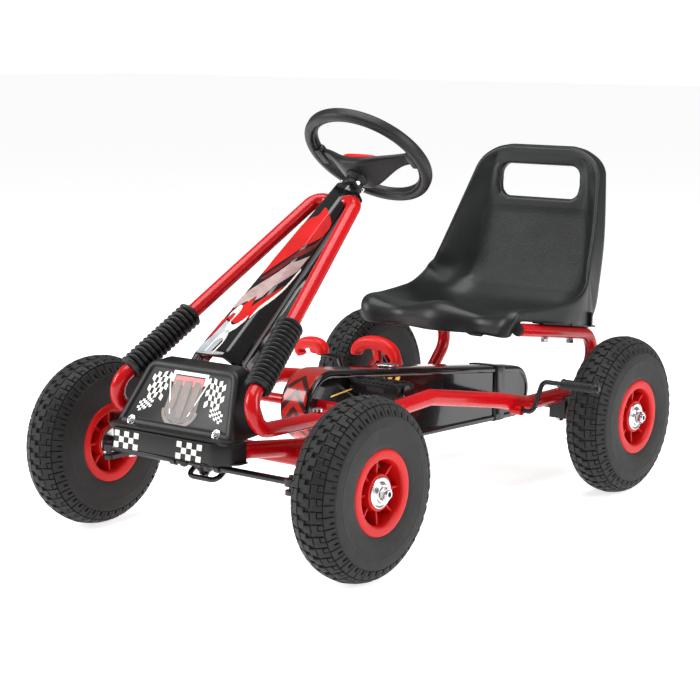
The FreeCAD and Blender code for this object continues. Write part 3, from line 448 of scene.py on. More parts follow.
TYRE_CROWN_TO_BEAD = ((130, 0), (127.6, 15), (121.5, 26.5), (111, 34.4), (97, 37.4), (80, 37.3), (66, 35.5),
                      (60.5, 33.2), (57, 30.9))
TREAD_EDGE = 46.0
LUG_HEIGHT = 3.3
LUG_PITCH_LENGTH = 18.5
LUG_PITCHES = 44
Z_LUG = ((0.03, -9.9), (0.64, -9.9), (0.64, -1.0), (0.97, -1.0), (0.97, 9.9), (0.36, 9.9), (0.36, 1.0),
         (0.03, 1.0))
L_LUG = ((0.03, 11.1), (0.97, 11.1), (0.97, 28.2), (0.50, 28.2), (0.50, 20.5), (0.03, 20.5))
NOTCHED_LUG = ((0.03, 29.4), (0.97, 29.4), (0.97, TREAD_EDGE), (0.66, TREAD_EDGE), (0.61, 38),
               (0.43, 38), (0.38, TREAD_EDGE), (0.03, TREAD_EDGE))
SMALL_LUG = ((0.06, 21.7), (0.46, 21.7), (0.46, 28.2), (0.06, 28.2))


class TyreSection:
    """The tyre's outer curve by its distance from the crown's middle."""

    def __init__(self):
        self.points = spline(TYRE_CROWN_TO_BEAD, 8)
        self.reach = [0.0]
        for a, b in zip(self.points, self.points[1:]):
            self.reach.append(self.reach[-1] + (b - a).length)

    def spot(self, distance, lift=0.0):
        """(radius, offset) on the curve, lifted off it."""
        side = -1 if distance < 0 else 1
        distance = min(abs(distance), self.reach[-1] - 0.01)
        n = next(k for k, reach in enumerate(self.reach) if reach > distance) - 1
        a, b = self.points[n], self.points[n + 1]
        share = (distance - self.reach[n]) / (self.reach[n + 1] - self.reach[n])
        run = (b - a).normalized()
        spot = a.lerp(b, share) + Vector((run.y, -run.x)) * lift
        return spot.x, side * spot.y

    def floor_lift(self, distance):
        """How far the carcass lies from the curve: below it under the tread, with fine rings on the wall."""
        reach = abs(distance)
        rings = 0.7 * hump(reach, 91, 1.2) + 0.6 * hump(reach, 62, 0.9) + 0.5 * hump(reach, 86, 0.8)
        return rings - LUG_HEIGHT * (1 - smoothstep(TREAD_EDGE - 3, TREAD_EDGE + 2, reach))


def add_lug(shape, section, outline, pitch_start, mirror):
    """One block of tread, standing on the carcass with an eased top edge."""
    flat = [Vector((share * LUG_PITCH_LENGTH, place)) for share, place in outline]
    pitch_angle = 2 * math.pi / LUG_PITCHES
    rings = []
    for distance, lift in ((-0.5, -LUG_HEIGHT - 0.6), (0, -1.0), (0.35, -0.3), (1.0, 0.0)):
        ring = []
        for point in inset(flat, distance):
            angle = (pitch_start + point.x / LUG_PITCH_LENGTH) * pitch_angle
            radius, offset = section.spot(point.y * mirror, lift)
            ring.append(Vector((radius * math.cos(angle), radius * math.sin(angle), offset)))
        rings.append(ring)
    shape.loft(rings)
    shape.cover_last(len(flat))


def tyre_mesh():
    section = TyreSection()
    shape = Shape()
    half = [n * 1.5 for n in range(int(section.reach[-1] / 1.5) + 1)] + [section.reach[-1]]
    outside = [section.spot(distance, section.floor_lift(distance)) for distance in
               [-reach for reach in half[:0:-1]] + half]
    inside = [(64, 27), (97, 30), (117, 15), (117, -15), (97, -30), (64, -27)]
    shape.lathe(outside + inside, 132, closed=True)
    for pitch in range(LUG_PITCHES):
        add_lug(shape, section, Z_LUG, pitch, 1)
        for mirror, shift in ((1, 0.25), (-1, 0.75)):
            add_lug(shape, section, L_LUG, pitch + shift, mirror)
            add_lug(shape, section, SMALL_LUG, pitch + shift, mirror)
            add_lug(shape, section, NOTCHED_LUG, pitch + shift + 0.5, mirror)
    return shape.mesh("tyre", [TYRE_RUBBER], sharp=30)


def rim_mesh():
    """The moulded rim: a flange, a recess with eight ribs, and a boss."""
    shape = Shape()
    upper = [(56.2, 30.6), (60.6, 31.6), (61.2, 33.4), (60, 35), (56, 35.6), (50, 35.4), (47, 34.6),
             (45.6, 31), (44.6, 4), (42, 3), (28, 3), (26.4, 4.5), (26, 29.6), (25, 30.4), (14, 30.2)]
    lower = [(radius, -height) for radius, height in reversed(upper)]
    shape.lathe(rounded(upper + lower, 1.4, steps=3), 96, closed=True)
    rib = [Vector(p) for p in ((25.4, -24), (46, -26), (46, 26), (25.4, 24))]
    for n in range(8):
        turn = Matrix.Rotation(math.pi / 4 * n, 4, "Z")
        shape.prism(rib, -1.8, 1.8, 0.7, matrix=turn @ Matrix.Rotation(math.pi / 2, 4, "X"))
    return shape.mesh("rim", [RED_PLASTIC])


def hub_mesh():
    """The pressed steel disc, the bearing behind it, and the spacer."""
    shape = Shape()
    outside = [(13.2, 29.8), (21.6, 29.9), (22.4, 30.8), (22.0, 32.2), (20.4, 32.8), (19.2, 32.2),
               (17.8, 31.6), (15.8, 31.6), (15.2, 32.4), (13.8, 33.2), (13.2, 34.6), (12.6, 35.9), (11.4, 36.2),
               (9.6, 36.1), (9.0, 35.2), (8.8, 33.6), (6.4, 33.6), (6.2, 30)]
    inside = [(6.2, -30), (6.4, -31.4), (15.8, -31.4), (20.4, -32.0), (22.2, -31.2), (21.8, -29.9),
              (13.2, -29.8)]
    shape.lathe(rounded(outside + inside, 0.5, steps=2), 64, closed=True)
    return shape.mesh("hub", [ZINC])


def valve_mesh():
    """A rubber stem with a ribbed cap."""
    shape = Shape()
    profile = [(0, 0), (4.6, 0), (4.4, 1.2), (3.4, 2.4), (3.1, 6.5), (2.7, 7.2), (3.3, 7.6), (3.3, 9.2),
               (3.0, 9.6), (3.3, 10), (3.3, 11.6), (3.0, 12), (3.2, 12.4), (3.1, 14.6), (2.2, 15.4), (0, 15.6)]
    shape.lathe(profile, 24)
    return shape.mesh("valve", [BELLOWS_RUBBER])


def axle_end_mesh():
    """The bright hollow tip of an axle, with a flat disc of painted shade standing in for its bore."""
    shape = Shape()
    shape.lathe([(6.3, 43.8), (6.35, 46.0), (5.8, 46.7), (4.2, 46.8), (3.6, 46.5)], 32)
    # Painted shade: a flat near-black disc inside the tip stands in for the shade down the bore.
    shape.lathe([(3.6, 46.5), (0, 46.45)], 32, look=1)
    return shape.mesh("axle_end", [ZINC, PAINTED_HOLE_SHADE])


VALVE_LEAN = math.radians(17)
VALVE_DIRECTION = Z * math.cos(math.pi / 8) + Y * math.sin(math.pi / 8)
VALVE_REACH = 39.0
VALVE_FOOT = 3.2


def make_wheels():
    tyre, rim, hub, valve, axle_end = tyre_mesh(), rim_mesh(), hub_mesh(), valve_mesh(), axle_end_mesh()
    for end in ("front", "rear"):
        for side, sign in SIDES:
            name = f"{end}_{side}"
            centre = middle(f"{name}_tyre")
            wheel = placed(centre, X * sign, Z)
            turns = f"{name}_wheel" if end == "front" else "rear_axle"
            carries = f"knuckle_{side}" if end == "front" else "rear_axle"
            piece(f"{name}_tread_tyre", tyre, turns, (f"{name}_tyre",), wheel)
            piece(f"{name}_moulded_rim", rim, turns, (f"{name}_rim",), wheel)
            piece(f"{name}_pressed_hub", hub, turns, (f"{name}_hub",), wheel)
            outward = X * sign
            leaning = outward * math.cos(VALVE_LEAN) - VALVE_DIRECTION * math.sin(VALVE_LEAN)
            stem = placed(centre + VALVE_DIRECTION * VALVE_REACH + outward * VALVE_FOOT, leaning, Z)
            replaced = (f"{name}_valve",) if end == "front" else (("rear_valves",) if sign > 0 else ())
            piece(f"{name}_valve_stem", valve, turns, replaced, stem)
            piece(f"{name}_axle_end", axle_end, carries, (), wheel)


# ---------------------------------------------------------------- steering

def make_steering_wheel():
    rim = Shape()
    grip = [(106.6, -5), (107, 0), (106.6, 5), (103.6, 9), (98, 10), (94.6, 9.3), (93.2, 7.4), (92, 5.4),
            (90.6, 6.2), (88.4, 5.6), (87, 0), (88.4, -5.6), (90.6, -6.2), (92, -5.4), (93.2, -7.4),
            (94.6, -9.3), (98, -10), (103.6, -9)]
    rim.lathe(spline(grip, 4, closed=True), 120, closed=True)
    rings = []
    for n in range(41):
        x = -93 + 186 * n / 40
        share = smoothstep(0.18, 0.86, 1 - abs(x) / 94)
        level = -2 - 31 * smoothstep(0.1, 0.9, 1 - abs(x) / 94)
        front = 11 + 20 * share
        rear = 11 + 22 * smoothstep(0.25, 0.95, 1 - abs(x) / 94)
        thick = 4.6 + 6.4 * share
        ring = []
        for point in superellipse(1, 1, 3.2, 28):
            reach = rear if point.x > 0 else front
            crown = 2.6 * (1 - point.x ** 2) * (point.y > 0)
            ring.append(Vector((x, point.x * reach, level + point.y * thick + crown)))
        rings.append(ring)
    rim.loft(rings, caps=True)
    rim.lathe(rounded([(0, -44), (17, -44), (20, -38), (20, -24), (0, -24)], 3, closed=False), 48)
    for x in (-88, 88):
        tab = ((x - 7, -17), (x + 7, -17), (x + 7, 17), (x - 7, 17))
        rim.prism(rounded(tab, 4), -9, 5, 1.6)
    rim.build("grooved_steering_wheel", WHEEL_PLASTIC, "steering", ("steering_wheel",), "black_plastic",
              STEERING)

    cap = Shape()
    levels = ((1.0, -20.5), (1.0, -12.4), (0.985, -10.8), (0.95, -9.4), (0.88, -8.6), (0.6, -7.9), (0.3, -7.6),
              (0.02, -7.5))
    cap_outline = superellipse(36, 20, 4.6, 48)
    cap.loft([[Vector((point.x * share, point.y * share, level - 3.0)) for point in cap_outline]
              for share, level in levels], caps=True)
    cap.build("red_wheel_cap", HANDLE_RED, "steering", ("hub_cap",), "red_plastic", STEERING)

    collar = Shape()
    collar.lathe(rounded([(7.1, -66), (15, -66), (17, -63), (17, -57), (14.5, -55), (14.5, -49), (18, -47),
                          (18, -42), (7.1, -42)], 1.2, steps=2), 48, closed=True)
    for angle in (0.5, math.pi - 0.5, math.pi + 0.5, -0.5):
        head = placed((0, 0, 0), Vector((math.cos(angle), math.sin(angle), 0)), Z)
        collar.lathe([(0, 20.6), (2.4, 20.4), (3.6, 19.2), (3.8, 16.6), (0, 16.4)], 20, look=1,
                     matrix=Matrix.Translation((0, 0, -60)) @ head)
    collar.build("screwed_collar", [WHEEL_PLASTIC, ZINC], "steering", ("steering_hub",), "black_plastic",
                 STEERING)


BOOT_BORE = 11.15
BOOT_START = 283.0
BOOT_FOLDS = 15
BOOT_PITCH = 8.8


def make_bellows():
    """A folded rubber boot on each leg of the steering hoop."""
    profile = [(BOOT_BORE, 0), (14.6, 0), (15.6, 0.8)]
    for n in range(BOOT_FOLDS * 10 + 1):
        wave = math.sin(math.pi * (n % 10) / 10) ** 0.8
        profile.append((15.4 + 4.6 * wave, 1.2 + n / 10 * (BOOT_PITCH - 0.16)))
    profile += [(14.6, BOOT_FOLDS * BOOT_PITCH), (BOOT_BORE, BOOT_FOLDS * BOOT_PITCH)]
    for side, sign in SIDES:
        shoulder, toe = at(sign * 38, -427, 497.6), at(sign * 140, -832, 209)
        down = (toe - shoulder).normalized()
        boot = Shape().lathe(profile, 56, closed=True)
        start = placed(shoulder + down * BOOT_START, down, X)
        boot.build(f"ribbed_boot_{side}", BELLOWS_RUBBER, "frame", (f"bellows_{side}",), "black_rubber", start)


# ---------------------------------------------------------------- decals

def film(name, outline, surface, look, cuts=()):
    """A thin printed film: an outline in a surface's own two shares, cut where the surface bends."""
    work = bmesh.new()
    work.faces.new([work.verts.new((point[0], point[1], 0)) for point in outline])
    for axis, place in cuts:
        spot = Vector((0, 0, 0))
        spot[axis] = place
        side = Vector((0, 0, 0))
        side[axis] = 1
        bmesh.ops.bisect_plane(work, geom=work.faces[:] + work.edges[:] + work.verts[:], plane_co=spot,
                               plane_no=side)
    for vert in work.verts:
        vert.co = surface(vert.co.x, vert.co.y) * MM
    made = bpy.data.meshes.new(name)
    work.to_mesh(made)
    work.free()
    made.materials.append(look)
    return piece(name, made, "frame", ())


def chequers(name, surface, spot, columns, rows):
    """The light cells of a chequered patch; spot(column, row) gives a corner's two shares."""
    shape = Shape()
    for column in range(columns):
        for row in range(rows):
            if (column + row) % 2 == 0:
                corners = [spot(column + a, row + b) for a, b in ((0, 0), (1, 0), (1, 1), (0, 1))]
                shape.add([surface(*corner) for corner in corners], [(0, 1, 2, 3)])
    return piece(name, shape.mesh(name, [WHITE_FILM], weld=False), "frame", ())


# ---------------------------------------------------------------- nose and bumper

NOSE_FOOT = at(0, -800, 191.5)
NOSE_UP = Vector((0, 48, 92.5)).normalized()
NOSE_OUT = Vector((0, -NOSE_UP.z, NOSE_UP.y))
NOSE_HEIGHT = 104.2


def nose_face(u, v, lift=0.0):
    """A point on the nose's sloping face, by millimetres across and up it."""
    return NOSE_FOOT + X * u + NOSE_UP * v + NOSE_OUT * lift


def make_nose():
    corners = ((-112, 0), (112, 0), (84, NOSE_HEIGHT), (-84, NOSE_HEIGHT))
    outline = rounded(corners, (7, 7, 17, 17), steps=6)
    shape = Shape()
    back = []
    for point in outline:
        front = nose_face(point.x, point.y)
        rise = front.z - 191.5
        back.append(Vector((point.x * 0.94, REAR_AXLE_Y - 714 - 0.14 * rise, front.z)))
    rings = [back]
    for distance, lift in ((0, -7), (0.4, -3.6), (1.8, -1.2), (4.2, 0), (9.5, 0), (11.4, -0.7), (12.6, -2.2),
                           (14.5, -2.6)):
        rings.append([nose_face(point.x, point.y, lift) for point in inset(outline, distance)])
    shape.loft(rings)
    shape.cover_last(len(outline))
    lip = rounded(((-114, -16), (114, -16), (112, 24), (-112, 24)), (10, 10, 2, 2))
    ledge = Matrix.Translation(at(0, -797, 0))
    shape.prism(lip, 188.5, 194.5, 1.6, matrix=ledge)
    shape.build("framed_nose_panel", PANEL_PLASTIC, "frame", ("nose_shell",), "black_plastic")


def nose_film_surface(u, v):
    return nose_face(u, v, -2.3)


def make_nose_graphics():
    """Two pairs of chequered flags and a plain grille between them."""
    for side, sign in SIDES:
        def big_flag(column, row, sign=sign):
            wave = 3.2 * math.sin(column * 1.1)
            return (sign * (33 + 5.6 * column + 1.6 * row), 84 + wave - 8.2 * row + 0.8 * column)

        def small_flag(column, row, sign=sign):
            wave = 1.4 * math.sin(column * 0.9 + 1)
            return (sign * (52 + 4.4 * column + 0.7 * row), 49 + wave - 3.6 * row - 1.2 * column)

        chequers(f"flag_{side}", nose_film_surface, big_flag, 6, 5)
        chequers(f"small_flag_{side}", nose_film_surface, small_flag, 6, 5)
        pole = [(sign * 34, 76), (sign * 36.4, 76), (sign * 18, 27), (sign * 16, 27)]
        film(f"flag_pole_{side}", pole, nose_film_surface, WHITE_FILM)
    film("grille_back", [(-27.5, 82), (27.5, 82), (30, 34), (21, 20), (0, 13), (-21, 20), (-30, 34)],
         lambda u, v: nose_face(u, v, -2.45), DEEP_BRONZE_FILM)
    arch = [(-33, 92), (33, 92), (33.5, 74), (28.5, 74), (28, 86), (-28, 86), (-28.5, 74), (-33.5, 74)]
    film("grille_arch", arch, nose_film_surface, WHITE_FILM)
    film("grille_band", [(-26.5, 84), (26.5, 84), (27, 70), (-27, 70)], nose_film_surface, RED_FILM)
    ring = [(33.5 * math.cos(a), 34 + 26 * math.sin(a)) for a in
            (math.pi + math.pi * n / 24 for n in range(25))]
    inner = [(28 * math.cos(a), 34 + 20 * math.sin(a)) for a in
             (2 * math.pi - math.pi * n / 24 for n in range(25))]
    film("grille_bowl", ring + inner, nose_film_surface, BRONZE_FILM)
    for n, (x, half, foot) in enumerate(((-18, 6.5, 34), (0, 8, 22), (18, 6.5, 34))):
        bar = rounded(((x - half * 0.8, foot), (x + half * 0.8, foot), (x + half, 78), (x - half, 78)), 4)
        film(f"grille_bar_{n}", bar, lambda u, v: nose_face(u, v, -2.1), BRONZE_FILM)


def make_bumper():
    """The folded plate below the nose, with chequered ends."""
    shape = Shape()
    outer = ((-118, 21), (-113, -4), (-94, -22), (94, -22), (113, -4), (118, 21))
    inner = ((115, 21), (110, -3), (92.8, -19), (-92.8, -19), (-110, -3), (-115, 21))
    fold = rounded(outer + inner, (0, 8, 9, 9, 8, 0, 0, 7, 6, 6, 7, 0), steps=5)
    place = Matrix.Translation(at(0, -796, 0))
    shape.prism(fold, 160, 190, 0.7, matrix=place)
    flat = ((-94, -22), (94, -22), (120, 4), (120, 22), (-120, 22), (-120, 4))
    sill = rounded(flat, (9, 9, 4, 1, 1, 4), steps=5)
    shape.prism(sill, 160, 162.6, 0.6, matrix=place)
    shape.build("rounded_bumper", PANEL_PLASTIC, "frame", ("bumper_plate",), "black_plastic")

    def face(u, v):
        return at(u, -818.3, v)

    for side, start in (("left", 28), ("right", -92)):
        def spot(column, row, start=start):
            return (start + 9.4 * column - 1.2 * row, 187 - 8.4 * row)

        chequers(f"bumper_chequers_{side}", face, spot, 5, 3)


def screw_head(shape, origin, outward, radius=5.2):
    """A domed screw head with a washer, and a cross recess painted as two near-black bars of shade."""
    place = placed((0, 0, 0), outward, X)
    place.translation = Vector(origin)
    shape.lathe([(0, 0), (radius * 1.35, 0), (radius * 1.38, 0.7), (radius * 1.05, 0.95), (radius, 1.4),
                 (radius * 0.93, 2.5), (radius * 0.7, 3.4), (radius * 0.35, 3.9), (0, 4.0)], 28, matrix=place)
    # Painted shade: the cross recess is not cut; two near-black bars lie on the dome in its place.
    for turn in (0, math.pi / 2):
        slot = Matrix.Rotation(turn, 4, "Z")
        bar = [Vector(p) for p in ((-0.5 * radius, -0.45), (0.5 * radius, -0.45), (0.5 * radius, 0.45),
                                   (-0.5 * radius, 0.45))]
        shape.prism(bar, 3.4, 4.06, matrix=place @ slot, look=1)


def make_screws():
    shape = Shape()
    for x in (81, -81):
        screw_head(shape, nose_face(x, 8.3), NOSE_OUT)
    shape.build("panel_screw_heads", [ZINC, PAINTED_HOLE_SHADE], "frame", ("panel_screws",), "zinc")


# ---------------------------------------------------------------- column cover

COVER_STATIONS = ((-413, 520, 21, 34), (-560, 411.5, 32, 44), (-722, 292, 46, 44))
COVER_OUT = Vector((0, -0.594, 0.804))
COVER_BEVEL = 0.42


def cover_station(share):
    """(middle, half width, depth) at a share of the way down the cover."""
    place = min(max(share, 0.0), 1.0) * 2
    n = min(int(place), 1)
    a, b = COVER_STATIONS[n], COVER_STATIONS[n + 1]
    y, z, half, depth = (p + (q - p) * (place - n) for p, q in zip(a, b))
    return at(0, y, z), half, depth


def cover_face(a, t):
    """A point just proud of the cover's front: a is across (1 at the bevel's outer edge), t runs down."""
    centre, half, _ = cover_station(t)
    flat = 1 - COVER_BEVEL
    drop = max(0.0, abs(a) - flat) * half
    lean = 0.35 if drop == 0 else 0.5
    return centre + X * a * half + COVER_OUT * (lean - drop)


def make_column_cover():
    shape = Shape()
    rings = []
    for n in range(25):
        centre, half, depth = cover_station(n / 24)
        bevel = COVER_BEVEL * half
        corner = ((-half, -depth), (-half, -bevel), (bevel - half, 0), (half - bevel, 0), (half, -bevel),
                  (half, -depth))
        eased = rounded(corner, 3.0, closed=False, steps=4)
        rings.append([centre + X * p.x + COVER_OUT * p.y for p in eased])
    lid = []
    for share, lift in ((0.35, 3.2), (0.8, 2.8), (0.95, 1.6)):
        centre, half, depth = cover_station(0)
        heart = centre - COVER_OUT * depth / 2
        upward = Vector((0, 0.804, 0.594))
        lid.append([heart + (point - heart) * share + upward * lift for point in rings[0]])
    shape.loft(lid + rings, ring_closed=False)
    made = shape.build("bevelled_column_cover", GLOSS_BLACK, "frame", ("steering_cover",), "gloss_cover")
    wall = made.modifiers.new("wall", "SOLIDIFY")
    wall.thickness = 2.4 * MM
    wall.offset = -1


COVER_CUTS = ((0, COVER_BEVEL - 1), (0, 1 - COVER_BEVEL), (1, 0.5))


def make_cover_graphics():
    """Sweeping colour fields on the column cover, with no lettering."""
    leaf = spline(((0.07, 0.159), (0.62, 0.19), (0.97, 0.234), (0.92, 0.314), (0.47, 0.42), (-0.23, 0.53),
                   (-0.5, 0.575), (-0.58, 0.5), (-0.74, 0.478), (-0.76, 0.394), (-0.66, 0.305), (-0.38, 0.234),
                   (0.02, 0.208)), 4, closed=True)
    streak = spline(((0.97, 0.27), (0.87, 0.358), (0.42, 0.451), (-0.18, 0.56), (-0.43, 0.6), (-0.08, 0.585),
                     (0.57, 0.478), (0.97, 0.363)), 4, closed=True)
    band = [(-0.8, 0.755), (-0.43, 0.655), (0.22, 0.56), (0.74, 0.473), (0.97, 0.42), (0.9, 0.52), (0.67, 0.6),
            (0.37, 0.69), (0.12, 0.715), (-0.18, 0.72), (-0.48, 0.76)]
    bolt = [(-0.5, 0.775), (-0.16, 0.735), (0.1, 0.685), (0.22, 0.745), (0.64, 0.665), (0.82, 0.6),
            (0.7, 0.72), (0.5, 0.8), (0.07, 0.835), (-0.38, 0.815)]
    wedge = [(-0.68, 0.835), (-0.4, 0.8), (-0.48, 0.9), (-0.74, 0.985)]
    patch = [(-0.38, 0.825), (0.07, 0.845), (0.12, 0.9), (-0.03, 0.985), (-0.68, 0.995), (-0.46, 0.91)]
    for name, outline, look in (("cover_leaf", leaf, RED_FILM), ("cover_streak", streak, DARK_RED_FILM),
                                ("cover_band", band, SILVER_FILM), ("cover_bolt", bolt, RED_FILM),
                                ("cover_wedge", wedge, RED_FILM), ("cover_patch", patch, GREY_FILM)):
        film(name, outline, cover_face, look, COVER_CUTS)
    lines = {
        "cover_line_upper": ((-0.43, 0.8), (-0.33, 0.765), (-0.13, 0.775), (-0.18, 0.835), (0.02, 0.865),
                             (0.27, 0.84), (0.42, 0.8)),
        "cover_line_lower": ((-0.23, 0.985), (-0.18, 0.92), (0.02, 0.89), (0.17, 0.925), (0.1, 0.985)),
        "cover_line_side": ((0.97, 0.5), (0.86, 0.62), (0.62, 0.74), (0.54, 0.8)),
    }
    for name, points in lines.items():
        path = spline(points, 6)
        edges = []
        for n, point in enumerate(path):
            run = path[min(n + 1, len(path) - 1)] - path[max(n - 1, 0)]
            side = Vector((-run.y, run.x * 0.22)).normalized()
            edges.append((point + side * 0.022, point - side * 0.022))
        outline = [a for a, _ in edges] + [b for _, b in reversed(edges)]
        film(name, outline, lambda a, t: cover_face(a, t) + COVER_OUT * 0.25, WHITE_FILM,
             COVER_CUTS)


# ---------------------------------------------------------------- chain cover

CASE_CIRCLES = ((-475, 182, 57), (42, 134, 45), (-338, 160, 59))
CASE_HALF_WIDTH = 28.0
CASE_JOINT_Y = -8.0
STRAP_HALF_WIDTH = 14.0


def case_outline(growth=0.0):
    """The belt round the case's three circles, anticlockwise in (y, z)."""
    spots = []
    for y, z, radius in CASE_CIRCLES:
        for point in circle(radius + growth, 96):
            spots.append((y + point.x, z + point.y))
    spots = sorted(set(spots))
    hull = []
    for run in (spots, spots[::-1]):
        chain = []
        for spot in run:
            while len(chain) > 1 and ((chain[-1][0] - chain[-2][0]) * (spot[1] - chain[-2][1])
                                      - (chain[-1][1] - chain[-2][1]) * (spot[0] - chain[-2][0])) <= 0:
                chain.pop()
            chain.append(spot)
        hull += chain[:-1]
    return [Vector(point) for point in hull]


def dense(outline, pitch):
    """The closed outline with its long runs divided."""
    made = []
    for n, point in enumerate(outline):
        after = outline[(n + 1) % len(outline)]
        parts = max(1, round((after - point).length / pitch))
        made += [point.lerp(after, k / parts) for k in range(parts)]
    return made


def case_ring(outline, distance, x):
    return [at(x, point.x, point.y) for point in inset(outline, distance)]


def clip(made, planes, fill=False):
    """Cuts a mesh away beyond each plane (y, normal), and closes the cut if asked."""
    work = bmesh.new()
    work.from_mesh(made.data)
    for y, normal in planes:
        cut = bmesh.ops.bisect_plane(work, geom=work.faces[:] + work.edges[:] + work.verts[:],
                                     plane_co=at(0, y, 0) * MM, plane_no=normal, clear_outer=True)
        if fill:
            rim = [item for item in cut["geom_cut"] if isinstance(item, bmesh.types.BMEdge)]
            bmesh.ops.holes_fill(work, edges=rim, sides=0)
    work.to_mesh(made.data)
    work.free()


def make_chain_case():
    """The case's two halves with their raised rims, and the strap over their joint."""
    outline = dense(case_outline(), 12)
    half = CASE_HALF_WIDTH
    steps = [(13, half - 2.4), (11, half - 2.2), (9.6, half - 0.8), (8.4, half), (5.2, half), (2.6, half - 0.5),
             (0.8, half - 1.9), (0, half - 4.2)]
    profile = steps + [(distance, -x) for distance, x in reversed(steps)]
    for name, normal in (("front", Y), ("rear", -Y)):
        shape = Shape()
        shape.loft([case_ring(outline, distance, x) for distance, x in profile], caps=True)
        made = shape.build(f"case_{name}", GLOSS_BLACK, "frame", (f"chain_cover_{name}",), "gloss_cover")
        clip(made, [(CASE_JOINT_Y, normal)])
    strap = Shape()
    steps = [(12, half + 0.8), (4, half + 0.8), (1.2, half), (0, half - 3.2)]
    rings = steps + [(distance, -x) for distance, x in reversed(steps)]
    strap_outline = dense(case_outline(0.9), 12)
    strap.loft([case_ring(strap_outline, distance, x) for distance, x in rings], caps=True)
    made = strap.build("case_strap", STRAP_BLACK, "frame", ("chain_cover_strap",), "gloss_cover")
    clip(made, [(CASE_JOINT_Y + STRAP_HALF_WIDTH, Y), (CASE_JOINT_Y - STRAP_HALF_WIDTH, -Y)], fill=True)


CHEVRON_PITCH = 27.0
CHEVRON_HALF_WIDTH = 26.4


def make_case_graphics():
    """Chevrons round the case's nose, and gold bars on its sides."""
    outline = dense(case_outline(0.35), 6)
    heart = Vector((CASE_CIRCLES[0][0], CASE_CIRCLES[0][1]))
    band = []
    for point in outline:
        angle = math.degrees(math.atan2(point.y - heart.y, -(point.x - heart.x)))
        if -75 <= angle <= 89 or point.x < -400 and point.y > 200:
            band.append((angle if point.x < heart.x else 90 + point.x - heart.x, point))
    band = [point for _, point in sorted(band, key=lambda item: item[0])]
    made = bpy.data.meshes.new("case_nose")
    across = [-1 + n / 6 for n in range(13)]
    points, faces, layout = [], [], []
    reach = 0.0
    for n, point in enumerate(band):
        if n:
            reach += (point - band[n - 1]).length
        for a in across:
            sink = 1.6 * smoothstep(0.86, 1.0, abs(a)) ** 2
            toward = (heart - point).normalized() * sink
            points.append(at(a * CHEVRON_HALF_WIDTH, point.x + toward.x, point.y + toward.y) * MM)
            layout.append((a, reach / CHEVRON_PITCH))
    for i in range(len(band) - 1):
        for j in range(len(across) - 1):
            k = i * len(across) + j
            faces.append((k, k + 1, k + 1 + len(across), k + len(across)))
    made.from_pydata(points, [], faces)
    layer = made.uv_layers.new(name="layout")
    for loop in made.loops:
        layer.data[loop.index].uv = layout[loop.vertex_index]
    made.materials.append(chevron_look())
    made.polygons.foreach_set("use_smooth", [True] * len(made.polygons))
    piece("case_nose_chevrons", made, "frame", ())

    for side, sign in SIDES:
        def wall(y, z, sign=sign):
            return at(sign * (CASE_HALF_WIDTH - 2.1), y, z)

        stripe = [(-474, 200), (-399, 207), (-399, 204.6), (-474, 197.6)]
        film(f"gold_stripe_{side}", stripe, wall, GOLD_FILM)
        for n in range(5):
            y = -395 + 21 * n
            z = 207 - 2 * n
            bar = [(y, z), (y + 12, z - 0.8), (y + 16, z + 7), (y + 4, z + 7.8)]
            film(f"gold_bar_{side}_{n}", bar, wall, GOLD_FILM)
    eye = Shape()
    eye.lathe(spline(((9, 0), (12, 1.2), (16, 1.4), (17.5, 0), (17, -1.5)), 4), 48)
    # Painted shade: the eye's hole is a flat near-black disc inside the ring, not an opening.
    eye.lathe([(9, 0), (0, -0.2)], 48, look=1)
    slope = Vector((0, 48, 517)).normalized()
    place = placed(at(0, -296, 222.3), slope, X) @ Matrix.Diagonal((0.95, 1.25, 1, 1))
    eye.build("case_eye", [ZINC, PAINTED_HOLE_SHADE], "frame", (), "zinc", place)


# ---------------------------------------------------------------- pedals and levers

def make_pedals():
    for side, _ in SIDES:
        low, high = (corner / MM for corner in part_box(f"pedal_{side}"))
        centre = (low + high) / 2
        shape = Shape()
        length, depth, height = high.x - low.x, high.y - low.y, high.z - low.z
        for edge in (low.y, high.y - 8):
            shape.slab((low.x, edge, low.z + 2.2), (length, 8, height - 4.4), 1.4)
            for n in range(9):
                x = low.x + 5 + n * (length - 16) / 8
                for z in (low.z, high.z - 3):
                    shape.slab((x, edge + 0.6, z), (6, 6.8, 3), 0.8)
        for n in range(4):
            x = low.x + 1 + n * (length - 10) / 3
            shape.slab((x, low.y + 4, low.z + 3), (8, depth - 8, height - 6), 1.4)
            for z in (low.z + 1.2, high.z - 4.2):
                shape.slab((x + 1.4, low.y + 9, z), (5, depth - 18, 3), 0.8)
        sleeve = rounded([(6.1, 0), (9.4, 0), (9.4, length - 4), (6.1, length - 4)], 1, steps=2)
        along = Matrix.Translation((low.x + 2, centre.y, centre.z)) @ Matrix.Rotation(math.pi / 2, 4, "Y")
        shape.lathe(sleeve, 32, closed=True, matrix=along)
        for edge in (low.y - 0.1, high.y - 1.5):
            shape.slab((centre.x - 16, edge, centre.z - 3.2), (32, 1.6, 6.4), 0.5, look=1)
        shape.build(f"toothed_pedal_{side}", [BLACK_PLASTIC, NYLON], f"pedal_{side}", (f"pedal_{side}",),
                    "black_plastic")


def make_brake_grip():
    low, high = (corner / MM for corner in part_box("brake_grip"))
    profile = [(4.1, 0), (8.2, 0), (9.2, 1.2), (9.2, 3), (8.0, 4)]
    for n in range(12):
        start = 6 + n * 4.4
        profile += [(7.5, start), (8.4, start + 0.7), (8.4, start + 2.9), (7.5, start + 3.6)]
    profile += [(8.2, high.x - low.x - 3), (7.2, high.x - low.x - 0.6), (0, high.x - low.x)]
    grip = Shape().lathe(profile, 40)
    place = placed((low.x, (low.y + high.y) / 2, (low.z + high.z) / 2), X, Z)
    grip.build("ribbed_brake_grip", BELLOWS_RUBBER, "brake_lever", ("brake_grip",), "black_rubber", place)


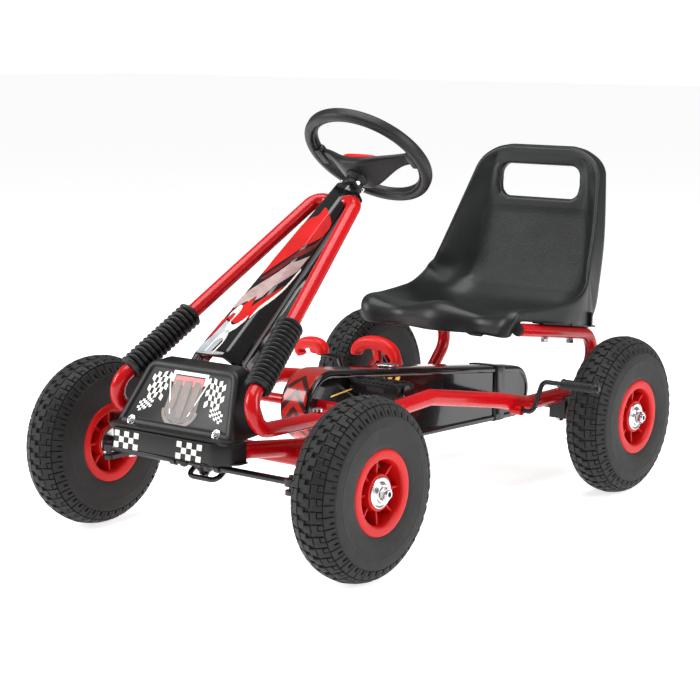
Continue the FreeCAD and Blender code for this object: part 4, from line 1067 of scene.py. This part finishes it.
def make_red_handles():
    def arch_section(share):
        grow = 0.62 + 0.38 * math.sin(math.pi * min(1.0, share * 1.15)) ** 0.6
        return superellipse(11 * grow, 11, 2.8, 24)

    arch = Shape()
    path = spline([at(x, -198, z) for x, z in ((-137, 213), (-135, 223), (-124, 232), (-106, 236), (-84, 235),
                                              (-66, 228), (-56, 216), (-53, 204))], 6)
    arch.sweep(path, arch_section, Y)
    stem = spline([at(-95, -198, 238), at(-95, -197, 222), at(-95, -192, 206)], 5)
    arch.sweep(stem, lambda share: superellipse(10 - 3.5 * share, 6.2, 2.6, 20), Y)
    arch.build("arched_handle", HANDLE_RED, "selector_lever", ("selector_handle",), "red_plastic")

    hook = Shape()
    path = spline([at(x, -245, z) for x, z in ((-218, 210), (-223, 216), (-221, 224), (-210, 230), (-195, 232),
                                              (-182, 230), (-175, 224), (-174, 216))], 6)

    def hook_section(share):
        grow = 0.5 + 0.5 * smoothstep(0.0, 0.45, share)
        return superellipse(10.2 * grow, 11, 2.8, 24)

    hook.sweep(path, hook_section, Y)
    web = rounded(((-196, 215), (-173, 214), (-173, 228), (-200, 230)), 5)
    flat = Matrix.Rotation(math.pi / 2, 4, "X")
    hook.prism(web, -7, 7, 1.5, matrix=Matrix.Translation(at(0, -245, 0)) @ flat)
    hook.build("hooked_handle", HANDLE_RED, "gear_lever", ("gear_handle",), "red_plastic")


# ---------------------------------------------------------------- seat

# Each station: the middle of the sitting face (y, z), the way it looks (y, z), half its width, how far its
# side wings rise, and where its outer wall ends (y, z): on the rail below, or behind the back.
SEAT_STATIONS = (
    (-167, 270, -1.0, 0.0, 141, 0, -157, 270), (-167, 284, -0.98, 0.2, 147, 0, -155, 282),
    (-160, 297, -0.7, 0.7, 151, 1, -149, 288), (-144, 302, -0.1, 0.995, 153, 4, -141, 290),
    (-100, 297, 0.1, 0.995, 159, 12, -100, 284), (-40, 286, 0.12, 0.993, 165, 26, -52, 277),
    (10, 280, -0.1, 0.995, 167, 38, -8, 271), (60, 284, -0.38, 0.925, 164, 56, 30, 265.5),
    (92, 302, -0.72, 0.69, 160, 64, 64, 261), (118, 335, -0.93, 0.37, 154, 62, 92, 296),
    (133, 385, -0.97, 0.25, 147, 50, 121, 378), (143, 440, -0.98, 0.19, 137.5, 34, 140, 438),
    (149, 500, -0.99, 0.1, 125.5, 14, 158, 500), (150.5, 516, -0.995, 0.07, 121.5, 9, 162, 516),
    (151.5, 529, -1.0, 0.05, 113.5, 6, 163, 529), (152, 539, -1.0, 0.0, 101, 4, 163, 539),
    (152, 547, -1.0, 0.0, 84, 2, 163, 547), (152, 551.5, -1.0, 0.0, 62, 1, 163, 551.5))
SEAT_TOP_Z = 551.5
SEAT_WALL_REACH = 172.0
SLOT_LIP_DEPTH = 13.0
SEAT_COLUMNS = 60
SEAT_STEPS = 6
SLOT_Z = 495.0
SLOT_HALF = (82.0, 29.0)
SLOT_CORNER = 20.0
SLOT_GROWTH = 5.0        # the slot is cut this much too large, and its rolled lip fills that in
SEAT_LIP_RADIUS = 6.0


def slot_distance(x, z, growth):
    """The distance outside the handle slot's rounded outline, grown by an amount."""
    corner = SLOT_CORNER + growth
    a = max(0.0, abs(x) - (SLOT_HALF[0] + growth - corner))
    b = max(0.0, abs(z - SLOT_Z) - (SLOT_HALF[1] + growth - corner))
    if a == 0 and b == 0:
        return max(abs(x) - SLOT_HALF[0], abs(z - SLOT_Z) - SLOT_HALF[1]) - growth
    return math.hypot(a, b) - corner


def near_slot(point):
    return abs(point.x) <= 100 and abs(point.z - SLOT_Z) <= 40


def seat_point(station, share):
    """A point across a station, with the moulding's soft relief."""
    y, z, look_y, look_z, half, rise = station[:6]
    look = Vector((0, look_y, look_z)).normalized()
    x = share * half
    lift = rise * max(0.0, (abs(share) - 0.5) / 0.5) ** 3.3
    from_edge = min(half - abs(x), SEAT_TOP_Z - z)
    back = smoothstep(310, 350, z)
    lift += 6.0 * back * (1 - smoothstep(6, 30, from_edge))
    panel = smoothstep(30, 40, from_edge) * smoothstep(306, 318, z) * (1 - smoothstep(442, 452, z))
    lift -= 3.0 * panel
    if z > 430:
        lift += 2.5 * hump(slot_distance(x, z, SLOT_GROWTH), 2, 9)
    front = 1 - smoothstep(-150, -95, y)
    lift += front * (10 * hump(share, 0, 0.26) - 6 * hump(abs(share), 0.55, 0.2)
                     + 5 * hump(abs(share), 0.93, 0.12))
    return at(x, y, z) + look * lift


def make_seat():
    rows = spline(SEAT_STATIONS, SEAT_STEPS)
    columns = [2 * n / SEAT_COLUMNS - 1 for n in range(SEAT_COLUMNS + 1)]
    work = bmesh.new()
    grid = []
    spots = {}
    for row in rows:
        line = []
        for share in columns:
            vert = work.verts.new(seat_point(row, share))
            spots[vert] = row
            line.append(vert)
        grid.append(line)
    for upper, lower in zip(grid, grid[1:]):
        for n in range(SEAT_COLUMNS):
            corners = (upper[n], upper[n + 1], lower[n + 1], lower[n])
            heart = sum((vert.co for vert in corners), Vector()) / 4
            if heart.z < 450 or slot_distance(heart.x, heart.z, SLOT_GROWTH) > 0:
                work.faces.new(corners)
    loose = [vert for vert in work.verts if not vert.link_faces]
    bmesh.ops.delete(work, geom=loose, context="VERTS")
    for vert in work.verts:
        if vert.is_boundary and near_slot(vert.co):
            for _ in range(4):
                x, z = vert.co.x, vert.co.z
                away = slot_distance(x, z, SLOT_GROWTH)
                slope = Vector((slot_distance(x + 0.1, z, SLOT_GROWTH) - away, 0,
                                slot_distance(x, z + 0.1, SLOT_GROWTH) - away))
                if slope.length:
                    vert.co -= slope.normalized() * away
    bmesh.ops.recalc_face_normals(work, faces=work.faces)
    if sum(face.normal.y for face in work.faces) > 0:
        bmesh.ops.reverse_faces(work, faces=work.faces)
    roll_edges(work, spots)
    grain_faces(work)
    for vert in work.verts:
        vert.co *= MM
    mesh = bpy.data.meshes.new("seat")
    work.to_mesh(mesh)
    work.free()
    mesh.materials.append(SEAT_PLASTIC)
    mesh.materials.append(SEAT_GRAIN)
    mesh.polygons.foreach_set("use_smooth", [True] * len(mesh.polygons))
    made = piece("moulded_seat", mesh, "frame", ("seat_shell",))
    wall = made.modifiers.new("wall", "SOLIDIFY")
    wall.thickness = 3.6 * MM
    wall.offset = -1
    made.modifiers.new("smooth", "SUBSURF").render_levels = 1


def roll_edges(work, spots):
    """Turns the seat's outer edge and its slot's edge over into a rounded lip."""
    border = [edge for edge in work.edges if edge.is_boundary]
    rails = {}
    for edge in border:
        face = edge.link_faces[0]
        for vert in edge.verts:
            rails.setdefault(vert, []).append((edge, face))
    frames = {}
    for vert, links in rails.items():
        row = spots[vert]
        down = -Vector((0, row[2], row[3])).normalized()
        outward = Vector()
        for edge, face in links:
            run = (edge.verts[1].co - edge.verts[0].co).normalized()
            side = run.cross(face.normal)
            heart = face.calc_center_median()
            middle_point = (edge.verts[0].co + edge.verts[1].co) / 2
            outward += side if side.dot(middle_point - heart) > 0 else -side
        outward -= down * outward.dot(down)
        outward.normalize()
        foot = vert.co + outward * SEAT_LIP_RADIUS + down * SLOT_LIP_DEPTH
        if not near_slot(vert.co):
            reach = vert.co.x + outward.x * SEAT_LIP_RADIUS
            foot = at(max(-SEAT_WALL_REACH, min(SEAT_WALL_REACH, reach)), row[6],
                      row[7] + outward.z * SEAT_LIP_RADIUS)
        frames[vert] = (vert.co.copy(), outward, down, foot)
    steps = [(math.sin(a) * SEAT_LIP_RADIUS, (1 - math.cos(a)) * SEAT_LIP_RADIUS) for a in
             (math.pi / 6, math.pi / 3, math.pi / 2)]
    previous = {vert: vert for vert in rails}
    for level in range(6):
        made = {}
        for vert, (start, outward, down, foot) in frames.items():
            out, drop = steps[min(level, 2)]
            spot = start + outward * out + down * drop
            if level > 2:
                spot = spot.lerp(foot, (level - 2) / 3)
            made[vert] = work.verts.new(spot)
        for edge in border:
            a, b = edge.verts
            work.faces.new((previous[a], previous[b], made[b], made[a]))
        previous = made
    bmesh.ops.recalc_face_normals(work, faces=work.faces)
    if sum(face.normal.y for face in work.faces if len(face.verts) == 4) > 0:
        bmesh.ops.reverse_faces(work, faces=work.faces)


def grain_faces(work):
    """The sunk middle of the back is moulded with a coarser grain."""
    for face in work.faces:
        heart = face.calc_center_median()
        inside = 312 < heart.z < 446 and abs(heart.x) < 112
        face.material_index = 1 if inside and heart.y < REAR_AXLE_Y + 152 else 0


def rail_top(y):
    """The height of the seat rails' upper side."""
    return 289.4 - (y + 151) * 0.14


def make_seat_mounts():
    """The flange that lies on each rail, and the ribs that stand on it against the seat's side wall."""
    stand = Matrix(((0, 0, 1, 0), (1, 0, 0, REAR_AXLE_Y), (0, 1, 0, 0), (0, 0, 0, 1)))
    for side, sign in SIDES:
        shape = Shape()
        for y, top in ((-12, 302), (50, 286)):
            x = 163 if sign > 0 else -172
            shape.slab((x, y + REAR_AXLE_Y, rail_top(y)), (9, 4.5, top - rail_top(y)), 0.9)
        flange = [Vector((y, rail_top(y))) for y in (-96, 70)]
        flange += [Vector((y, rail_top(y) + 3.2)) for y in (70, -96)]
        low, high = sorted((sign * 146, sign * 169))
        shape.prism(flange, low, high, 0.6, matrix=stand)
        shape.build(f"seat_side_{side}", SEAT_PLASTIC, "frame", (), "seat_plastic")


# ---------------------------------------------------------------- studio

def make_camera():
    azimuth, elevation, roll = (math.radians(angle) for angle in (37.82, 9.31, 0.51))
    ahead = Vector((-math.sin(azimuth) * math.cos(elevation), math.cos(azimuth) * math.cos(elevation),
                    -math.sin(elevation)))
    right = ahead.cross(Z).normalized()
    up = right.cross(ahead)
    rolled_right = right * math.cos(roll) + up * math.sin(roll)
    rolled_up = up * math.cos(roll) - right * math.sin(roll)
    camera = bpy.data.cameras.new("view")
    camera.lens = 96.02
    camera.sensor_width = 36
    camera.clip_start = 0.1
    camera.clip_end = 100
    made = bpy.data.objects.new("view", camera)
    made.matrix_world = Matrix((rolled_right, rolled_up, -ahead)).transposed().to_4x4()
    made.location = (1.76632, -2.33503, 0.73066)
    bpy.context.scene.collection.objects.link(made)
    bpy.context.scene.camera = made


def add_light(name, place, target, size, power):
    light = bpy.data.lights.new(name, "AREA")
    light.shape = "RECTANGLE"
    light.size, light.size_y = size
    light.energy = power
    made = bpy.data.objects.new(name, light)
    made.location = place
    made.rotation_euler = (Vector(target) - Vector(place)).to_track_quat("-Z", "Y").to_euler()
    bpy.context.scene.collection.objects.link(made)


WORLD_LIGHT = 0.24
BACKDROP_LIGHT = 1.05
FLOOR_GLOW = 0.74
FLOOR_REACH = 30.0


def make_studio():
    scene = bpy.context.scene
    scene.view_settings.view_transform = "Standard"
    world = bpy.data.worlds.new("studio")
    world.use_nodes = True
    background = world.node_tree.nodes["Background"]
    background.inputs["Color"].default_value = (1.0, 1.0, 1.0, 1)
    seen = add(world.node_tree, "LightPath").outputs["Is Camera Ray"]
    strength = spread(world.node_tree, seen, WORLD_LIGHT, BACKDROP_LIGHT)
    world.node_tree.links.new(strength, background.inputs["Strength"])
    scene.world = world
    heart = (0, 0, 0.25)
    add_light("overhead", (0.0, -0.3, 2.6), heart, (2.2, 2.2), 74)
    add_light("front_left", (-2.4, -2.2, 1.7), heart, (1.2, 1.6), 62)
    add_light("right_side", (2.6, 0.6, 1.4), heart, (1.0, 1.4), 36)
    floor_shape = bpy.data.meshes.new("floor")
    reach = FLOOR_REACH
    corners = [(-reach, -reach, 0), (reach, -reach, 0), (reach, reach, 0), (-reach, reach, 0)]
    floor_shape.from_pydata(corners, [], [(0, 1, 2, 3)])
    floor = bpy.data.objects.new("floor", floor_shape)
    scene.collection.objects.link(floor)
    paper = moulded("floor_paper", (0.93, 0.93, 0.93), (0.90, 0.90, 0.90), 0.7, mottle=3, grain=120,
                    depth=0.0001, specular=0.2)
    glow = paper.node_tree.nodes["Principled BSDF"]
    glow.inputs["Emission Color"].default_value = (1, 1, 1, 1)
    glow.inputs["Emission Strength"].default_value = FLOOR_GLOW
    floor_shape.materials.append(paper)


dress_cad_nodes()
make_wheels()
make_steering_wheel()
make_bellows()
make_nose()
make_nose_graphics()
make_bumper()
make_screws()
make_column_cover()
make_cover_graphics()
make_chain_case()
make_case_graphics()
make_pedals()
make_brake_grip()
make_red_handles()
make_seat()
make_seat_mounts()
make_camera()
make_studio()
